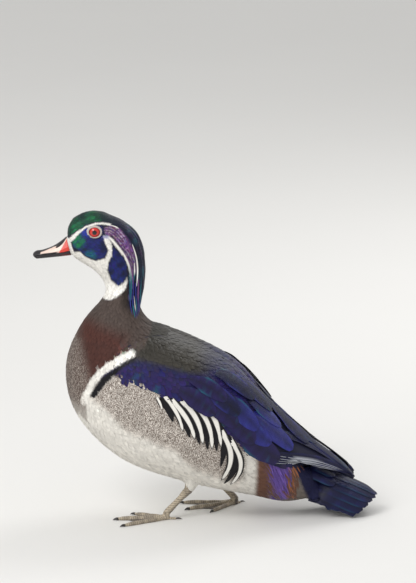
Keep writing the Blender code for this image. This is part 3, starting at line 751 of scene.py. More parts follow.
def feather_piece(name, nodes, material, vane, shapes, colours, spots):
    """All the feathers of one piece as one mesh, with their colours, maps and soft shading."""
    points, upward = shapes
    count, each = points.shape[:2]
    faces = (vane.faces[None] + np.arange(count)[:, None, None] * each).reshape(-1, 3)
    mesh = bpy.data.meshes.new(name)
    mesh.vertices.add(count * each)
    mesh.vertices.foreach_set("co", (points * MM).astype(np.float32).ravel())
    mesh.loops.add(faces.size)
    mesh.loops.foreach_set("vertex_index", faces.ravel().astype(np.int32))
    mesh.polygons.add(len(faces))
    mesh.polygons.foreach_set("loop_start", np.arange(len(faces), dtype=np.int32) * 3)
    mesh.update(calc_edges=True)
    mesh.polygons.foreach_set("use_smooth", np.ones(len(faces), bool))
    across = np.tile((vane.out + 1.0) / 2.0, count)
    along = np.tile(vane.along, count)
    order = faces.ravel()
    flat = mesh.uv_layers.new(name="Vane")
    flat.data.foreach_set("uv", np.stack([across[order], along[order]], 1).ravel())
    size = spots[:, 2:] if spots.shape[1] > 2 else np.full((count, 2), 0.003)
    shift = np.stack([across, along], 1).reshape(count, each, 2) - 0.5
    place = spots[:, None, :2] + shift * size[:, None, :]
    bake = mesh.uv_layers.new(name="OFBake")
    bake.data.foreach_set("uv", place.reshape(-1, 2)[order].ravel())
    turned = np.where(vane.top[:, None, None], 1.0, -1.0) * upward[:, vane.faces]
    mesh.normals_split_custom_set(turned.reshape(-1, 3).astype(np.float32))
    mesh.materials.append(material)
    made = linked(name, mesh)
    paint_points(made, np.clip(colours, 0.0, 1.0).reshape(count * each, -1), 0.0)
    finish_piece(made, None, nodes)


def own_spots(points):
    """Each feather's place on an unwrap of the skin along and round the middle line."""
    along, _, turn = spine_place(points)
    return np.stack([0.01 + 0.98 * along / SPINE_AT[-1], 0.01 + 0.98 * (turn / math.tau + 0.5)], 1)


def cells(count):
    """A square of the map for each large feather."""
    across = math.ceil(math.sqrt(count))
    i = np.arange(count)
    size = 1.0 / across
    place = np.stack([(i % across + 0.5) * size, (i // across + 0.5) * size], 1)
    return np.concatenate([place, np.full((count, 2), size * 0.92)], 1)


def lay(form, roots, ways, length, steps):
    """Lines over the form from each root, and the form's normals along them."""
    place, normal = form.nearest(roots)
    way = unit(ways - dot(ways, normal) * normal)
    lines = [place]
    normals = [normal]
    for _ in range(steps):
        place, normal = form.nearest(place + way * (length / steps)[:, None])
        way = unit(way - dot(way, normal) * normal)
        lines.append(place)
        normals.append(normal)
    return np.stack(lines, 1), np.stack(normals, 1)


def side_drop(form, lines, normals, width):
    """How far the form falls away under each feather's edges."""
    k = lines.shape[1] // 2
    side = unit(np.cross(lines[:, k] - lines[:, 0], normals[:, k]))
    total = 0.0
    for sign in SIDES:
        edge = lines[:, k] + side * sign * width[:, None] / 2.0
        near, _ = form.nearest(edge)
        total = total + dot(edge - near, normals[:, k])[:, 0]
    return np.clip(total / 2.0, 0.0, width * 0.4)


def calm(rows, rounds=2):
    """Even out a line of points or normals along its length, keeping its ends."""
    for _ in range(rounds):
        inner = (rows[:-2] + rows[2:]) / 4.0 + rows[1:-1] / 2.0
        rows = np.concatenate([rows[:1], inner, rows[-1:]])
    return rows


def side_lines(form, paths, sides=SIDES):
    """Calm lines over the form, with its normals, from paths in the side view."""
    found = [form.beside(path, side) for side in sides for path in paths]
    return (np.array([calm(places) for places, _ in found]),
            np.array([unit(calm(normals)) for _, normals in found]))


def lifted(lines, normals, low, high):
    """The lines raised off the form, from low at the roots to high at the ends."""
    count = lines.shape[1]
    share = np.linspace(0.0, 1.0, count)[None, :, None]
    low = np.reshape(low, (-1, 1, 1))
    high = np.reshape(high, (-1, 1, 1))
    return lines + normals * (low + (high - low) * share)


# ---- materials -----------------------------------------------------------------------------

def new_material(name):
    """A material and its nodes."""
    made = bpy.data.materials.new(name)
    made.use_nodes = True
    return made, made.node_tree


def dress(made, colour, normal=None, **values):
    """Give a material's shader its colour, its bump and its own values."""
    tree = made.node_tree
    shader = tree.nodes["Principled BSDF"]
    tree.links.new(colour, shader.inputs["Base Color"])
    if normal is not None:
        tree.links.new(normal, shader.inputs["Normal"])
    for name, value in values.items():
        shader.inputs[name.replace("_", " ")].default_value = value
    return made


def node(tree, kind, inputs=(), **settings):
    """The outputs of a new node, whose inputs are numbers or other nodes' outputs."""
    made = tree.nodes.new("ShaderNode" + kind)
    for key, value in settings.items():
        setattr(made, key, value)
    for key, value in dict(inputs).items():
        if isinstance(value, bpy.types.NodeSocket):
            tree.links.new(value, made.inputs[key])
        else:
            made.inputs[key].default_value = value
    return made.outputs


def figure(tree, operation, *values, kind="Math"):
    """The result of one sum."""
    return node(tree, kind, dict(enumerate(values)), operation=operation)[0]


def speckle(tree, size, detail=2.0, place=None, **more):
    """Noise from 0 to 1, over the whole piece unless a place is given."""
    if place is None:
        place = node(tree, "TexCoord")["Object"]
    return node(tree, "TexNoise",
                {"Vector": place, "Scale": size, "Detail": detail, **more})["Fac"]


def spread(tree, value, low, high, start=0.0, end=1.0):
    """Draw out the part of a value between low and high to run from start to end."""
    return node(tree, "MapRange", {"Value": value, "From Min": low, "From Max": high,
                                   "To Min": start, "To Max": end})["Result"]


def mixed(tree, share, first, second):
    """A mix of two colours."""
    return node(tree, "Mix", {"Factor": share, "A": first, "B": second},
                data_type="RGBA")["Result"]


def varied(tree, colour, noise, depth):
    """A colour made lighter and darker by noise."""
    tint = spread(tree, noise, 0.3, 0.7, 1.0 - depth, 1.0 + depth)
    return figure(tree, "MULTIPLY", colour, tint, kind="VectorMath")


def raised(tree, height, strength, distance, **under):
    """A bump of the surface that follows a height."""
    return node(tree, "Bump", {"Height": height, "Strength": strength, "Distance": distance,
                               **under})["Normal"]


def barbs(tree, fine):
    """Fine slanting barbs that run out from the shaft, from 0 to 1."""
    parts = node(tree, "SeparateXYZ", {0: node(tree, "UVMap", uv_map="Vane")["UV"]})
    out = figure(tree, "ABSOLUTE", figure(tree, "SUBTRACT", parts["X"], 0.5))
    lean = figure(tree, "MULTIPLY_ADD", out, -0.7, parts["Y"])
    line = node(tree, "CombineXYZ", {"Y": lean})["Vector"]
    return speckle(tree, fine, place=line, Roughness=0.7)


def feather_material(name, rough, sheen=0.0, fine=30.0, depth=0.25, specks=None):
    """Feathers: the piece's own colours, broken by barbs, with specks if asked for."""
    made, tree = new_material(name)
    paint = node(tree, "Attribute", attribute_name="Colour")
    barb = barbs(tree, fine)
    colour = varied(tree, paint["Color"], barb, depth)
    if specks:
        size, share, other = specks
        lean = node(tree, "Mapping", {"Vector": node(tree, "TexCoord")["Object"],
                                      "Rotation": (0.0, 0.6, 0.0),
                                      "Scale": (1.5, 1.0, 0.7)})["Vector"]
        grain = speckle(tree, size, place=lean, Roughness=0.6, Distortion=0.6)
        mask = spread(tree, grain, share - 0.04, share + 0.06)
        colour = mixed(tree, figure(tree, "MULTIPLY", mask, paint["Alpha"]), colour,
                       (*other, 1.0))
    return dress(made, colour, raised(tree, barb, 0.6, 0.0005), Roughness=rough,
                 Specular_IOR_Level=0.25, Sheen_Weight=sheen, Sheen_Roughness=0.4)


def painted_material(name, rough, coat=0.0, grain=400.0, depth=0.1, bump=0.2, over=None):
    """Bare skin, horn or down: the piece's own colours with a fine grain."""
    made, tree = new_material(name)
    noise = speckle(tree, grain, 4.0)
    paint = node(tree, "Attribute", attribute_name="Colour")["Color"]
    colour, normal = varied(tree, paint, noise, depth), raised(tree, noise, bump, 0.0004)
    if over:
        colour, normal = over(tree, colour, normal)
    return dress(made, colour, normal, Roughness=rough, Coat_Weight=coat, Coat_Roughness=0.08)


def paint_points(made, colours, rest=1.0):
    """Give an object's points their colours; rest is the fourth value where none is given."""
    mesh = made.data
    paint = mesh.color_attributes.new("Colour", "FLOAT_COLOR", "POINT")
    full = np.full((len(mesh.vertices), 4), rest, np.float32)
    full[:, :np.shape(colours)[-1]] = colours
    paint.data.foreach_set("color", full.ravel())


def points_of(made):
    """An object's points, in millimetres."""
    return rows_of(made.data.vertices, "co") / MM


def move_points(made, points):
    """Move an object's points to places in millimetres."""
    made.data.vertices.foreach_set("co", (points * MM).ravel())
    made.data.update()


def finish_piece(made, material, nodes):
    """Give a piece its finish if one is given, hang it from the root and hide the solids that it
    stands for.
    """
    if material is not None:
        made.data.materials.clear()
        made.data.materials.append(material)
        made.data.shade_smooth()
    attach(made, "root")
    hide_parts(*nodes)


# ---- skin ----------------------------------------------------------------------------------

FORMS = {}
FLESH = ("head", "neck", "trunk", "thigh_left", "thigh_right")


def body_form():
    """The whole outer form without bill, legs, tail end and free wing tips."""
    parts = [merged(name, FLESH_SWELL) for name in FLESH + ("crest", "eye_left", "eye_right")]
    parts += [cut_away(merged(name, WING_SWELL), WING_CUT) for name in ("wing_left", "wing_right")]
    parts.append(cut_away(merged("tail", FLESH_SWELL), TAIL_CUT))
    parts += [cut_away(merged(name, 0.3), BILL_CUT, keep_front=False)
              for name in ("bill_upper", "bill_lower")]
    return remeshed("duck_skin", joined(parts), sizes().skin_mesh, 8)


class DUCK_OT_skin(bpy.types.Operator):
    """Grow one skin inside the feathers"""
    bl_idname = "duck.skin"
    bl_label = "Skin"

    def execute(self, context):
        skin = body_form()
        form = Form(skin.data)
        FORMS["body"] = form
        depth = coat_at(spine_place(form.points)[0])[3]
        socket = 1.8 * (1.0 - ramp(eye_gap(form.points), 6.0, 8.0))
        move_points(skin, form.points - form.normals * (depth + FLESH_SWELL + socket)[:, None])
        # The skin takes the markings at four fifths of their brightness: painted shade, for where
        # it shows between the feathers.
        paint_points(skin, plumage_colour(form.points, shades()) * 0.8)
        material = painted_material("skin_down", 0.9, depth=0.15)
        finish_piece(skin, material, FLESH)
        return {"FINISHED"}


# ---- small feathers over the whole body ----------------------------------------------------

def eye_places():
    """Middle and radius of each eyeball, in millimetres."""
    places = {}
    for side in ("left", "right"):
        low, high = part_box("eye_" + side)
        places[side] = (np.array((low + high) / 2.0) / MM, (high.x - low.x) / 2.0 / MM)
    return places


def wing_zone(points):
    """1 where the folded wing's coverts lie."""
    x, z = points[:, 0], points[:, 2]
    return (z > level_of(FLANK_EDGE, x) + 1.5) & (x > COVERTS_FROM) & (x < COVERTS_TO)


def thigh_share(points):
    """How far each point belongs to a leg's feathering rather than to the body."""
    share = np.zeros(len(points))
    way = np.zeros((len(points), 3))
    for leg in LEGS.values():
        hip, ankle = np.array(leg["hip"], float), np.array(leg["ankle"], float)
        axis = ankle - hip
        at = np.clip((points - hip) @ axis / (axis @ axis), 0.0, 1.0)
        gap = np.linalg.norm(points - hip - at[:, None] * axis, axis=1)
        near = ramp(-gap, -19.0, -13.0) * ramp(-points[:, 2], -56.0, -46.0)
        share = np.maximum(share, near)
        way += near[:, None] * unit(axis)
    return share, way


def body_room(points):
    """Room that each small feather takes; 0 where none grow."""
    along, _, _ = spine_place(points)
    room = coat_at(along)[0]
    room = np.where(wing_zone(points), room * 1.1, room)
    thigh, _ = thigh_share(points)
    room = np.where(thigh > THIGH_SHARE, np.minimum(room, 3.0), room)
    x, _, z = points.T
    bars = np.minimum(line_distance(WHITE_BAR, x, z), line_distance(BLACK_BAR, x, z))
    room = np.where(bars < 7.0, room * 0.75, room)
    room = np.where((x < level_of(FACE_FRONT, z)) & (z > 270.0), 0.0, room)
    room = np.where(eye_gap(points) < EYE_CLEAR, 0.0, room)
    free = (x > BACK_END) & (z > level_of(FLANK_EDGE, x) + 4.0)
    return np.where(free | (x > RUMP_END), 0.0, room)


def lie_of_coat(points, normals, rng):
    """The way that the feathers lie, with a little disorder."""
    _, way, _ = spine_place(points)
    thigh, leg_way = thigh_share(points)
    way = way * (1.0 - thigh[:, None]) + leg_way
    way = unit(way - dot(way, normals) * normals)
    turn = rng.normal(0.0, 0.10, len(points))[:, None]
    return unit(way * np.cos(turn) + np.cross(normals, way) * np.sin(turn))


def clear_of_eyes(points, ways, length):
    """True for feathers whose ends stay off the eyes."""
    keep = np.ones(len(points), bool)
    for share in (0.0, 0.5, 0.9):
        keep &= eye_gap(points + ways * (length * share)[:, None]) > EYE_CLEAR - 0.4
    return keep


def eye_gap(points):
    """Distance of each point from the axis that an eye looks along."""
    best = np.full(len(points), 1e9)
    for side, (centre, _) in eye_places().items():
        gaze = np.array(gaze_of(side))
        out = points - centre
        ahead = out @ gaze
        gap = np.linalg.norm(out - ahead[:, None] * gaze, axis=1)
        best = np.minimum(best, np.where(ahead > -3.0, gap, 1e9))
    return best


# Name, slot and test of each piece of the coat; a feather goes to the first that takes it.  The
# tests are given the distance along the middle line, x, z and the zone: 1 wing, 2 thigh.
COAT_PIECES = (
    ("feathers_head", "head_feathers", lambda s, x, z, zone: s < HEAD_END),
    ("feathers_neck", "neck_feathers", lambda s, x, z, zone: s < NECK_END),
    ("feathers_wings", "wing_feathers", lambda s, x, z, zone: zone == 1),
    ("feathers_thighs", "thigh_feathers", lambda s, x, z, zone: zone == 2),
    ("feathers_breast", "body_feathers",
     lambda s, x, z, zone: (x < -60.0) & (patch(BREAST, x, z) > 0.5)),
    ("feathers_flanks", "body_feathers",
     lambda s, x, z, zone: (z > level_of(BELLY_EDGE, x) - 6.0) & (x < 44.0)),
    ("feathers_belly", "body_feathers", lambda s, x, z, zone: x < 48.0),
    ("feathers_rump", "body_feathers", lambda s, x, z, zone: x < math.inf),
)


class DUCK_OT_coat(bpy.types.Operator):
    """Lay the small feathers of head, neck and body"""
    bl_idname = "duck.coat"
    bl_label = "Small feathers"

    def execute(self, context):
        rng = np.random.default_rng(SEED)
        form = FORMS["body"]
        tone = shades()
        vane = Vane(4, 6, blunt=1.4, end=0.8)
        points, normals = form.scatter(body_room, rng)
        along, _, _ = spine_place(points)
        _, length, width, depth = coat_at(along)
        wing = wing_zone(points)
        thigh, _ = thigh_share(points)
        length = np.where(wing, length * 1.25, length) * (1.0 - 0.45 * thigh)
        width = np.where(wing, width * 1.2, width) * (1.0 - 0.45 * thigh)
        length *= rng.uniform(0.9, 1.12, len(points))
        width *= rng.uniform(0.92, 1.08, len(points))
        ways = lie_of_coat(points, normals, rng)
        keep = clear_of_eyes(points, ways, length)
        points, normals, ways = points[keep], normals[keep], ways[keep]
        along, length, width, depth, wing = (
            row[keep] for row in (along, length, width, depth, wing))
        lines, upward = lay(form, points, ways, length, 2)
        sag = side_drop(form, lines, upward, width)
        lift = sizes().lift / MM * rng.uniform(0.4, 1.0, len(points)) * np.minimum(depth, 1.5)
        x, z = points[:, 0], points[:, 2]
        edge = wing & (z < level_of(FLANK_EDGE, x) + 12.0) & (x > -52.0)
        lines = lifted(lines, upward, -0.36 * depth, lift + np.where(edge, 0.9, 0.0))
        thick = sizes().vane_thickness / MM
        shapes, shade = shape_vanes(vane, lines, upward, width, sag, thick)
        seen = lines[:, 2] * 0.6 + lines[:, 1] * 0.4
        x, z = seen[:, 0], seen[:, 2]
        left = np.ones(len(points), bool)
        zone = np.where(thigh_share(points)[0] > THIGH_SHARE, 2, wing)
        for name, slot, test in COAT_PIECES:
            mine = left & test(along, x, z, zone)
            left &= ~mine
            self.piece(name, slot, vane, (shapes[mine], shade[mine]), points[mine], tone, rng)
        return {"FINISHED"}

    def piece(self, name, slot, vane, forms, roots, tone, rng):
        """Colour the feathers of one piece and make it."""
        shapes = forms[0]
        count, each = shapes.shape[:2]
        places = shapes.reshape(-1, 3).copy()
        if name == "feathers_wings":
            edge = level_of(FLANK_EDGE, places[:, 0]) + 1.8
            places[:, 2] = np.maximum(places[:, 2], edge)
        colours = plumage_colour(places, tone).reshape(count, each, 3)
        if name != "feathers_head":
            colours = colours * 0.75 + colours[:, len(vane.along) * 3 // 4, None] * 0.25
        # Each feather is painted darker towards its root, as shade where the feathers above lie
        # over it; wing and neck feathers are also lighter towards their ends.
        dim = 0.84 + 0.16 * ramp(vane.along, 0.2, 0.6)
        if name in ("feathers_wings", "feathers_neck"):
            dim = dim + 0.3 * ramp(vane.along, 0.6, 1.0)
        jitter = rng.normal(1.0, 0.07, (count, 1, 1))
        if name in ("feathers_head", "feathers_wings"):
            depth = colours.max(axis=2, keepdims=True) - colours.min(axis=2, keepdims=True)
            dark = ramp(-colours.mean(axis=2, keepdims=True), -0.4, -0.2)
            glossy = ramp(depth, 0.015, 0.05) * dark
            jitter = jitter + glossy * rng.normal(0.0, 0.2, (count, 1, 3))
        colours = np.clip(colours * dim[None, :, None] * jitter, 0.0, 1.0)
        if name in ("feathers_flanks", "feathers_breast", "feathers_belly", "feathers_thighs"):
            marks = pale_flecks if name == "feathers_breast" else fine_marks
            share = marks(shapes.reshape(-1, 3)).reshape(count, each, 1)
            colours = np.concatenate([colours, share], axis=2)
        feather_piece(name, FLESH, self.cloth(name), vane, forms, colours,
                      own_spots(roots))

    def cloth(self, name):
        """The finish of a piece of the coat."""
        if name == "feathers_head":
            return feather_material(name, 0.42, sheen=0.15, fine=14.0, depth=0.35)
        if name == "feathers_wings":
            return feather_material(name, 0.45, sheen=0.1, fine=24.0, depth=0.45)
        if name in ("feathers_flanks", "feathers_belly", "feathers_thighs"):
            return feather_material(name, 0.7, fine=24.0, depth=0.08,
                                    specks=(1150.0, 0.47, linear(112, 100, 91)))
        if name == "feathers_breast":
            return feather_material(name, 0.62, fine=20.0, depth=0.35,
                                    specks=(900.0, 0.53, linear(176, 166, 156)))
        return feather_material(name, 0.65, fine=20.0, depth=0.3)


# ---- crest ---------------------------------------------------------------------------------

def crest_surface(down, turn):
    """Points of the crest's surface at shares down its length and turns round it."""
    rows = smooth_line(CREST_ROWS, 200)
    at = np.clip(down, 0.0, 1.0) * (len(rows) - 1)
    outer_x, outer_z, inner_x, inner_z, half = (np.interp(at, np.arange(len(rows)), rows[:, i])
                                                for i in range(5))
    up = np.cos(turn)
    up = up - 0.2 * (1.0 - up * up)
    x = (outer_x + inner_x) / 2.0 + (outer_x - inner_x) / 2.0 * up
    z = (outer_z + inner_z) / 2.0 + (outer_z - inner_z) / 2.0 * up
    return np.stack([x, half * np.sin(turn), z], -1)


def crest_colour(points, tone):
    """Blue-black plumes with teal and mauve gloss, and the line from behind the eye."""
    x, y, z = points.T
    wander = drift(points * (1.0, 2.0, 0.25), 5.0, 2.0)
    return layered(
        tone["crown"], tone, ("crest", ramp(-z, -316, -300)),
        ("crest_teal", 0.55 * ramp(wander, 0.35, 0.9)),
        (tone["mauve"] * 0.75, 0.6 * ramp(-wander, 0.45, 0.9)),
        ("mauve", 0.8 * patch(MAUVE, x, z, 1.5) * ramp(np.abs(y), 4.0, 7.0)),
        ("crest_teal", 0.35 * ramp(-z, -250, -225) * ramp(wander, -0.2, 0.6)),
        (nape_line_tone(z, tone), stripe(NAPE_LINE, x, z, 1.0) * ramp(np.abs(y), 2.0, 5.0)))


class DUCK_OT_crest(bpy.types.Operator):
    """Hang the long plumes of the crest"""
    bl_idname = "duck.crest"
    bl_label = "Crest"

    def execute(self, context):
        rng = np.random.default_rng(SEED + 1)
        tone = shades()
        vane = Vane(4, 16, blunt=1.6, end=0.8, root=0.3)
        count = CREST_PLUMES
        start = rng.uniform(-0.02, 0.8, count)
        reach = rng.uniform(0.28, 0.5, count)
        end = np.minimum(start + reach, rng.uniform(0.93, 1.0, count))
        turn = rng.uniform(-1.0, 1.0, count) * 2.5
        share = np.linspace(0.0, 1.0, LINE_POINTS)[None]
        down = start[:, None] + (end - start)[:, None] * share
        round_it = turn[:, None] * (1.0 - 0.06 * share)
        lines = crest_surface(down, round_it)
        ahead = crest_surface(down + 0.01, round_it)
        beside = crest_surface(down, round_it + 0.05)
        normals = unit(np.cross(beside - lines, ahead - lines))
        level = round_it * 0.0
        middle = (crest_surface(down, level) + crest_surface(down, level + math.pi)) / 2.0
        inward = dot(normals, lines - middle) < 0.0
        normals = np.where(inward, -normals, normals)
        lines = lifted(lines, normals, -1.0, rng.uniform(0.1, 0.7, count))
        width = sizes().crest_plume / MM * rng.uniform(0.7, 1.15, count)
        shapes = shape_vanes(vane, lines, normals, width, width * 0.12, 0.3)
        colours = crest_colour(shapes[0].reshape(-1, 3), tone).reshape(shapes[0].shape)
        low = ramp(-lines[:, LINE_POINTS // 2, 2], -285.0, -235.0)
        tints = np.array([tone["wing_blue"], tone["crest_teal"], tone["mauve"], tone["crest"]])
        tint = tints[rng.integers(0, 4, count)][:, None] * 1.2
        share = (0.15 + 0.7 * low) * rng.random(count)
        bright = ramp(-colours.mean(axis=2), -0.3, -0.15)
        colours = blend(colours, tint, share[:, None] * bright)
        colours = colours * rng.normal(1.0, 0.12, (count, 1, 1))
        material = feather_material("crest_plumes", 0.34, sheen=0.1, fine=40.0, depth=0.3)
        feather_piece("crest_plumes", ("crest",), material, vane, shapes,
                      colours, own_spots(lines[:, 0]))
        self.bright_lines(tone)
        return {"FINISHED"}

    def bright_lines(self, tone):
        """Single white, lilac and teal plumes that draw the fine lines down the crest."""
        form = FORMS["body"]
        vane = Vane(4, 24, blunt=2.0, end=0.8, root=0.4)
        paths, widths, starts, ends = zip(*CREST_LINES)
        lines, normals = side_lines(form, [smooth_line(path, 11) for path in paths])
        lines = lifted(lines, normals, 0.35, 0.9)
        widths = np.array(widths * 2)
        shapes = shape_vanes(vane, lines, normals, widths, widths * 0.05, 0.3)
        share = ramp(vane.along, 0.45, 0.75)[None]
        first = np.array([tone[name] for name in starts * 2])
        last = np.array([tone[name] * 1.3 for name in ends * 2])
        colours = blend(first[:, None], last[:, None], np.repeat(share, len(lines), 0))
        material = feather_material("crest_lines", 0.5, fine=60.0, depth=0.15)
        feather_piece("crest_lines", ("crest",), material, vane, shapes,
                      colours, own_spots(lines[:, 0]))


# ---- eyes ----------------------------------------------------------------------------------

def gaze_of(side):
    """The way that an eye looks: straight out to its side."""
    return Vector((0.0, -1.0 if side == "left" else 1.0, 0.0))


class DUCK_OT_eyes(bpy.types.Operator):
    """Set the eyes and their lids"""
    bl_idname = "duck.eyes"
    bl_label = "Eyes"

    def execute(self, context):
        tone = shades()
        glass = painted_material("eye_glass", 0.12, coat=0.35, grain=900.0, depth=0.12, bump=0.0)
        rim = painted_material("eye_lid", 0.55, grain=1500.0, depth=0.15, bump=0.5)
        for side, (centre, radius) in eye_places().items():
            gaze = gaze_of(side)
            turn = gaze.to_track_quat("Z", "Y").to_matrix().to_4x4()
            bm = bmesh.new()
            bmesh.ops.create_uvsphere(bm, u_segments=64, v_segments=96, radius=radius * MM)
            placed(bm, bm.verts[:], turn, centre)
            eye = object_from("eyeball_" + side, bm)
            out = points_of(eye) - centre
            look = np.array(gaze)
            off = np.linalg.norm(out - (out @ look)[:, None] * look, axis=1)
            ahead = out @ look > 0.0
            pupil = sizes().pupil / MM
            colour = layered(
                tone["black"] * 0.3, tone, ("iris", ramp(off, pupil - 0.15, pupil + 0.2)),
                (tone["iris"] * 0.5, ramp(off, 4.4, EYE_SHOWN)), ("black", ramp(off, 5.5, 6.0)))
            colour = np.where(ahead[:, None], colour, tone["black"])
            paint_points(eye, colour)
            finish_piece(eye, glass, ("eye_" + side,))
            self.make_lid(side, centre, radius, turn, rim, tone)
        return {"FINISHED"}

    def make_lid(self, side, centre, radius, turn, rim, tone):
        """A thin bare ring that holds the eyeball, a little longer than it is high."""
        outer = sizes().lid / MM
        bm = bmesh.new()
        loops = []
        rows = ((5.5, 0.15), (5.75, 0.7), (6.2, 1.05), (6.8, 0.95), (outer, 0.35),
                (outer + 0.6, -1.2), (outer - 0.6, -2.6))
        for ring, height in rows:
            base = math.sqrt(max(radius * radius - EYE_SHOWN * EYE_SHOWN, 0.0)) + height
            verts, edges = circle(bm, 48, ring)
            out = ring - rows[0][0]
            for vert in verts:
                angle = math.atan2(vert.co.y, vert.co.x)
                vert.co.x *= 1.07 + 0.05 * out
                vert.co.y *= 0.93
                vert.co.z = (base - 0.12 * out * math.cos(angle) ** 2) * MM
            loops.append(edges)
        for first, second in zip(loops, loops[1:] + loops[:1]):
            bmesh.ops.bridge_loops(bm, edges=first + second)
        bmesh.ops.recalc_face_normals(bm, faces=bm.faces[:])
        placed(bm, bm.verts[:], turn, centre)
        lid = object_from("eye_lid_" + side, bm)
        paint_points(lid, tone["lid"])
        finish_piece(lid, rim, ("eye_" + side,))


# ---- large feathers ------------------------------------------------------------------------

# The lowest silver-edged feather's middle line, and the step from each to the next above it.
SILVER_ROW = ((36, 82, 3, 2.4), (67, 70, 1, 2.3), (100, 63.6, 0, 2.3), (118, 61, 0, 1.7),
              (138, 52.6, 0, 1.3), (151, 46.6, 1.8, -0.8))
# Each large feather of the folded wing: its middle line in the side view as (x, z), its width,
# its two colours (root, end) and the colour of its edges, from the undermost outwards.
WING_PLUMES = (
    (((40, 78), (70, 66), (100, 59.5), (118, 55.5), (138, 48), (150, 43)), 8, "tail", "tail",
     "tail"),
    *((tuple((x + row * dx, z + row * dz) for x, z, dx, dz in SILVER_ROW), 6.4, "tail", "tail",
       "silver") for row in range(4)),
    (((60, 106), (98, 86), (132, 64.5), (159, 41.5)), 13, "tail", "back", "tail"),
    (((62, 120), (100, 93), (136, 66), (158, 42.5)), 12, "tail", "back", "wing_blue"),
    (((60, 133), (94, 101), (124, 74), (152, 49)), 11, "tail", "back", "back"),
    (((38, 155), (70, 126), (96, 98), (118, 78)), 15, "tail", "back", "back"),
    (((54, 140), (78, 112), (96, 90), (108, 79)), 16, "back", "back", "wing_blue"),
    (((30, 113), (47, 94), (63, 80.5), (77, 70)), 22, "coverts", "coverts", "wing_teal"),
    (((22, 128), (42, 112), (56, 98), (68, 88)), 19, "coverts", "wing_blue", "coverts"),
    (((42, 128), (59, 110), (76, 94), (91, 77)), 20, "wing_blue", "wing_blue", "wing_blue"),
    (((38, 142), (54, 126), (68, 111), (78, 100)), 16, "back", "wing_blue", "wing_teal"),
    (((10, 134), (27, 119), (41, 104), (50, 91)), 19, "coverts", "coverts", "back"),
    (((10, 146), (28, 132), (42, 118), (54, 104)), 18, "back", "wing_blue", "wing_teal"),
    (((22, 160), (40, 147), (56, 131), (68, 116)), 17, "back", "back", "wing_blue"),
    (((-12, 149), (5, 138), (20, 125), (32, 110)), 18, "coverts", "coverts", "coverts"),
    (((-8, 156), (8, 146), (22, 134), (34, 121)), 17, "coverts", "back", "wing_blue"),
    (((4, 168), (20, 158), (36, 146), (49, 132)), 16, "back", "back", "wing_blue"),
    (((-34, 154), (-18, 146), (-3, 136), (10, 124)), 16, "coverts", "coverts", "back"),
    (((-22, 164), (-6, 156), (10, 146), (21, 136)), 15, "coverts", "coverts", "wing_teal"),
)


def outer_form():
    """Body with the whole wings, for laying the long feathers."""
    parts = [merged(name, FLESH_SWELL) for name in FLESH]
    parts += [merged(name, WING_SWELL) for name in ("wing_left", "wing_right", "tail")]
    return remeshed("outer_form", joined(parts), 1.6 * MM, 5)


def drape(form, base, fallback, height):
    """Lay points on the form at a height, unless they hang out past its edge."""
    flat = base.reshape(-1, 3)
    near, normal = form.nearest(flat)
    gap = flat - near
    beside = np.linalg.norm(gap - dot(gap, normal) * normal, axis=1)
    far = ramp(beside, 0.6, 3.0)[:, None]
    laid = near + normal * height.reshape(-1, 1)
    return (laid * (1.0 - far) + fallback.reshape(-1, 3) * far).reshape(base.shape)


def long_vanes(vane, form, lines, normals, width, heights, thickness=0.35, free=(0.02, 0.32)):
    """Large feathers laid close on the form, each at its own height where it lies free."""
    none = np.zeros(len(width))
    shapes, shade = shape_vanes(vane, lines, normals, width, none, 0.0)
    rise = 0.5 * thickness * (vane.height * vane.thick)[None]
    risen = ramp(vane.along, *free)
    high = heights[:, None] * risen - 2.0 * (1.0 - risen) + 0.5 * vane.along[None] ** 2 + rise
    up = unit(bend_along(normals, vane.along))
    return drape(form, shapes, shapes + up * high[..., None], high), shade


def shaft_line(vane):
    """The coat that draws a dark line down a feather's shaft."""
    return "black", 0.5 * (1.0 - ramp(np.abs(vane.out), 0.03, 0.12))


def make_bed(name, bm, colour, shade, solid):
    """The dark bed that large feathers lie on, painted dark as shade between and under them."""
    bed = object_from(name, bm)
    paint_points(bed, colour)
    finish_piece(bed, painted_material(shade, 0.7), (solid,))


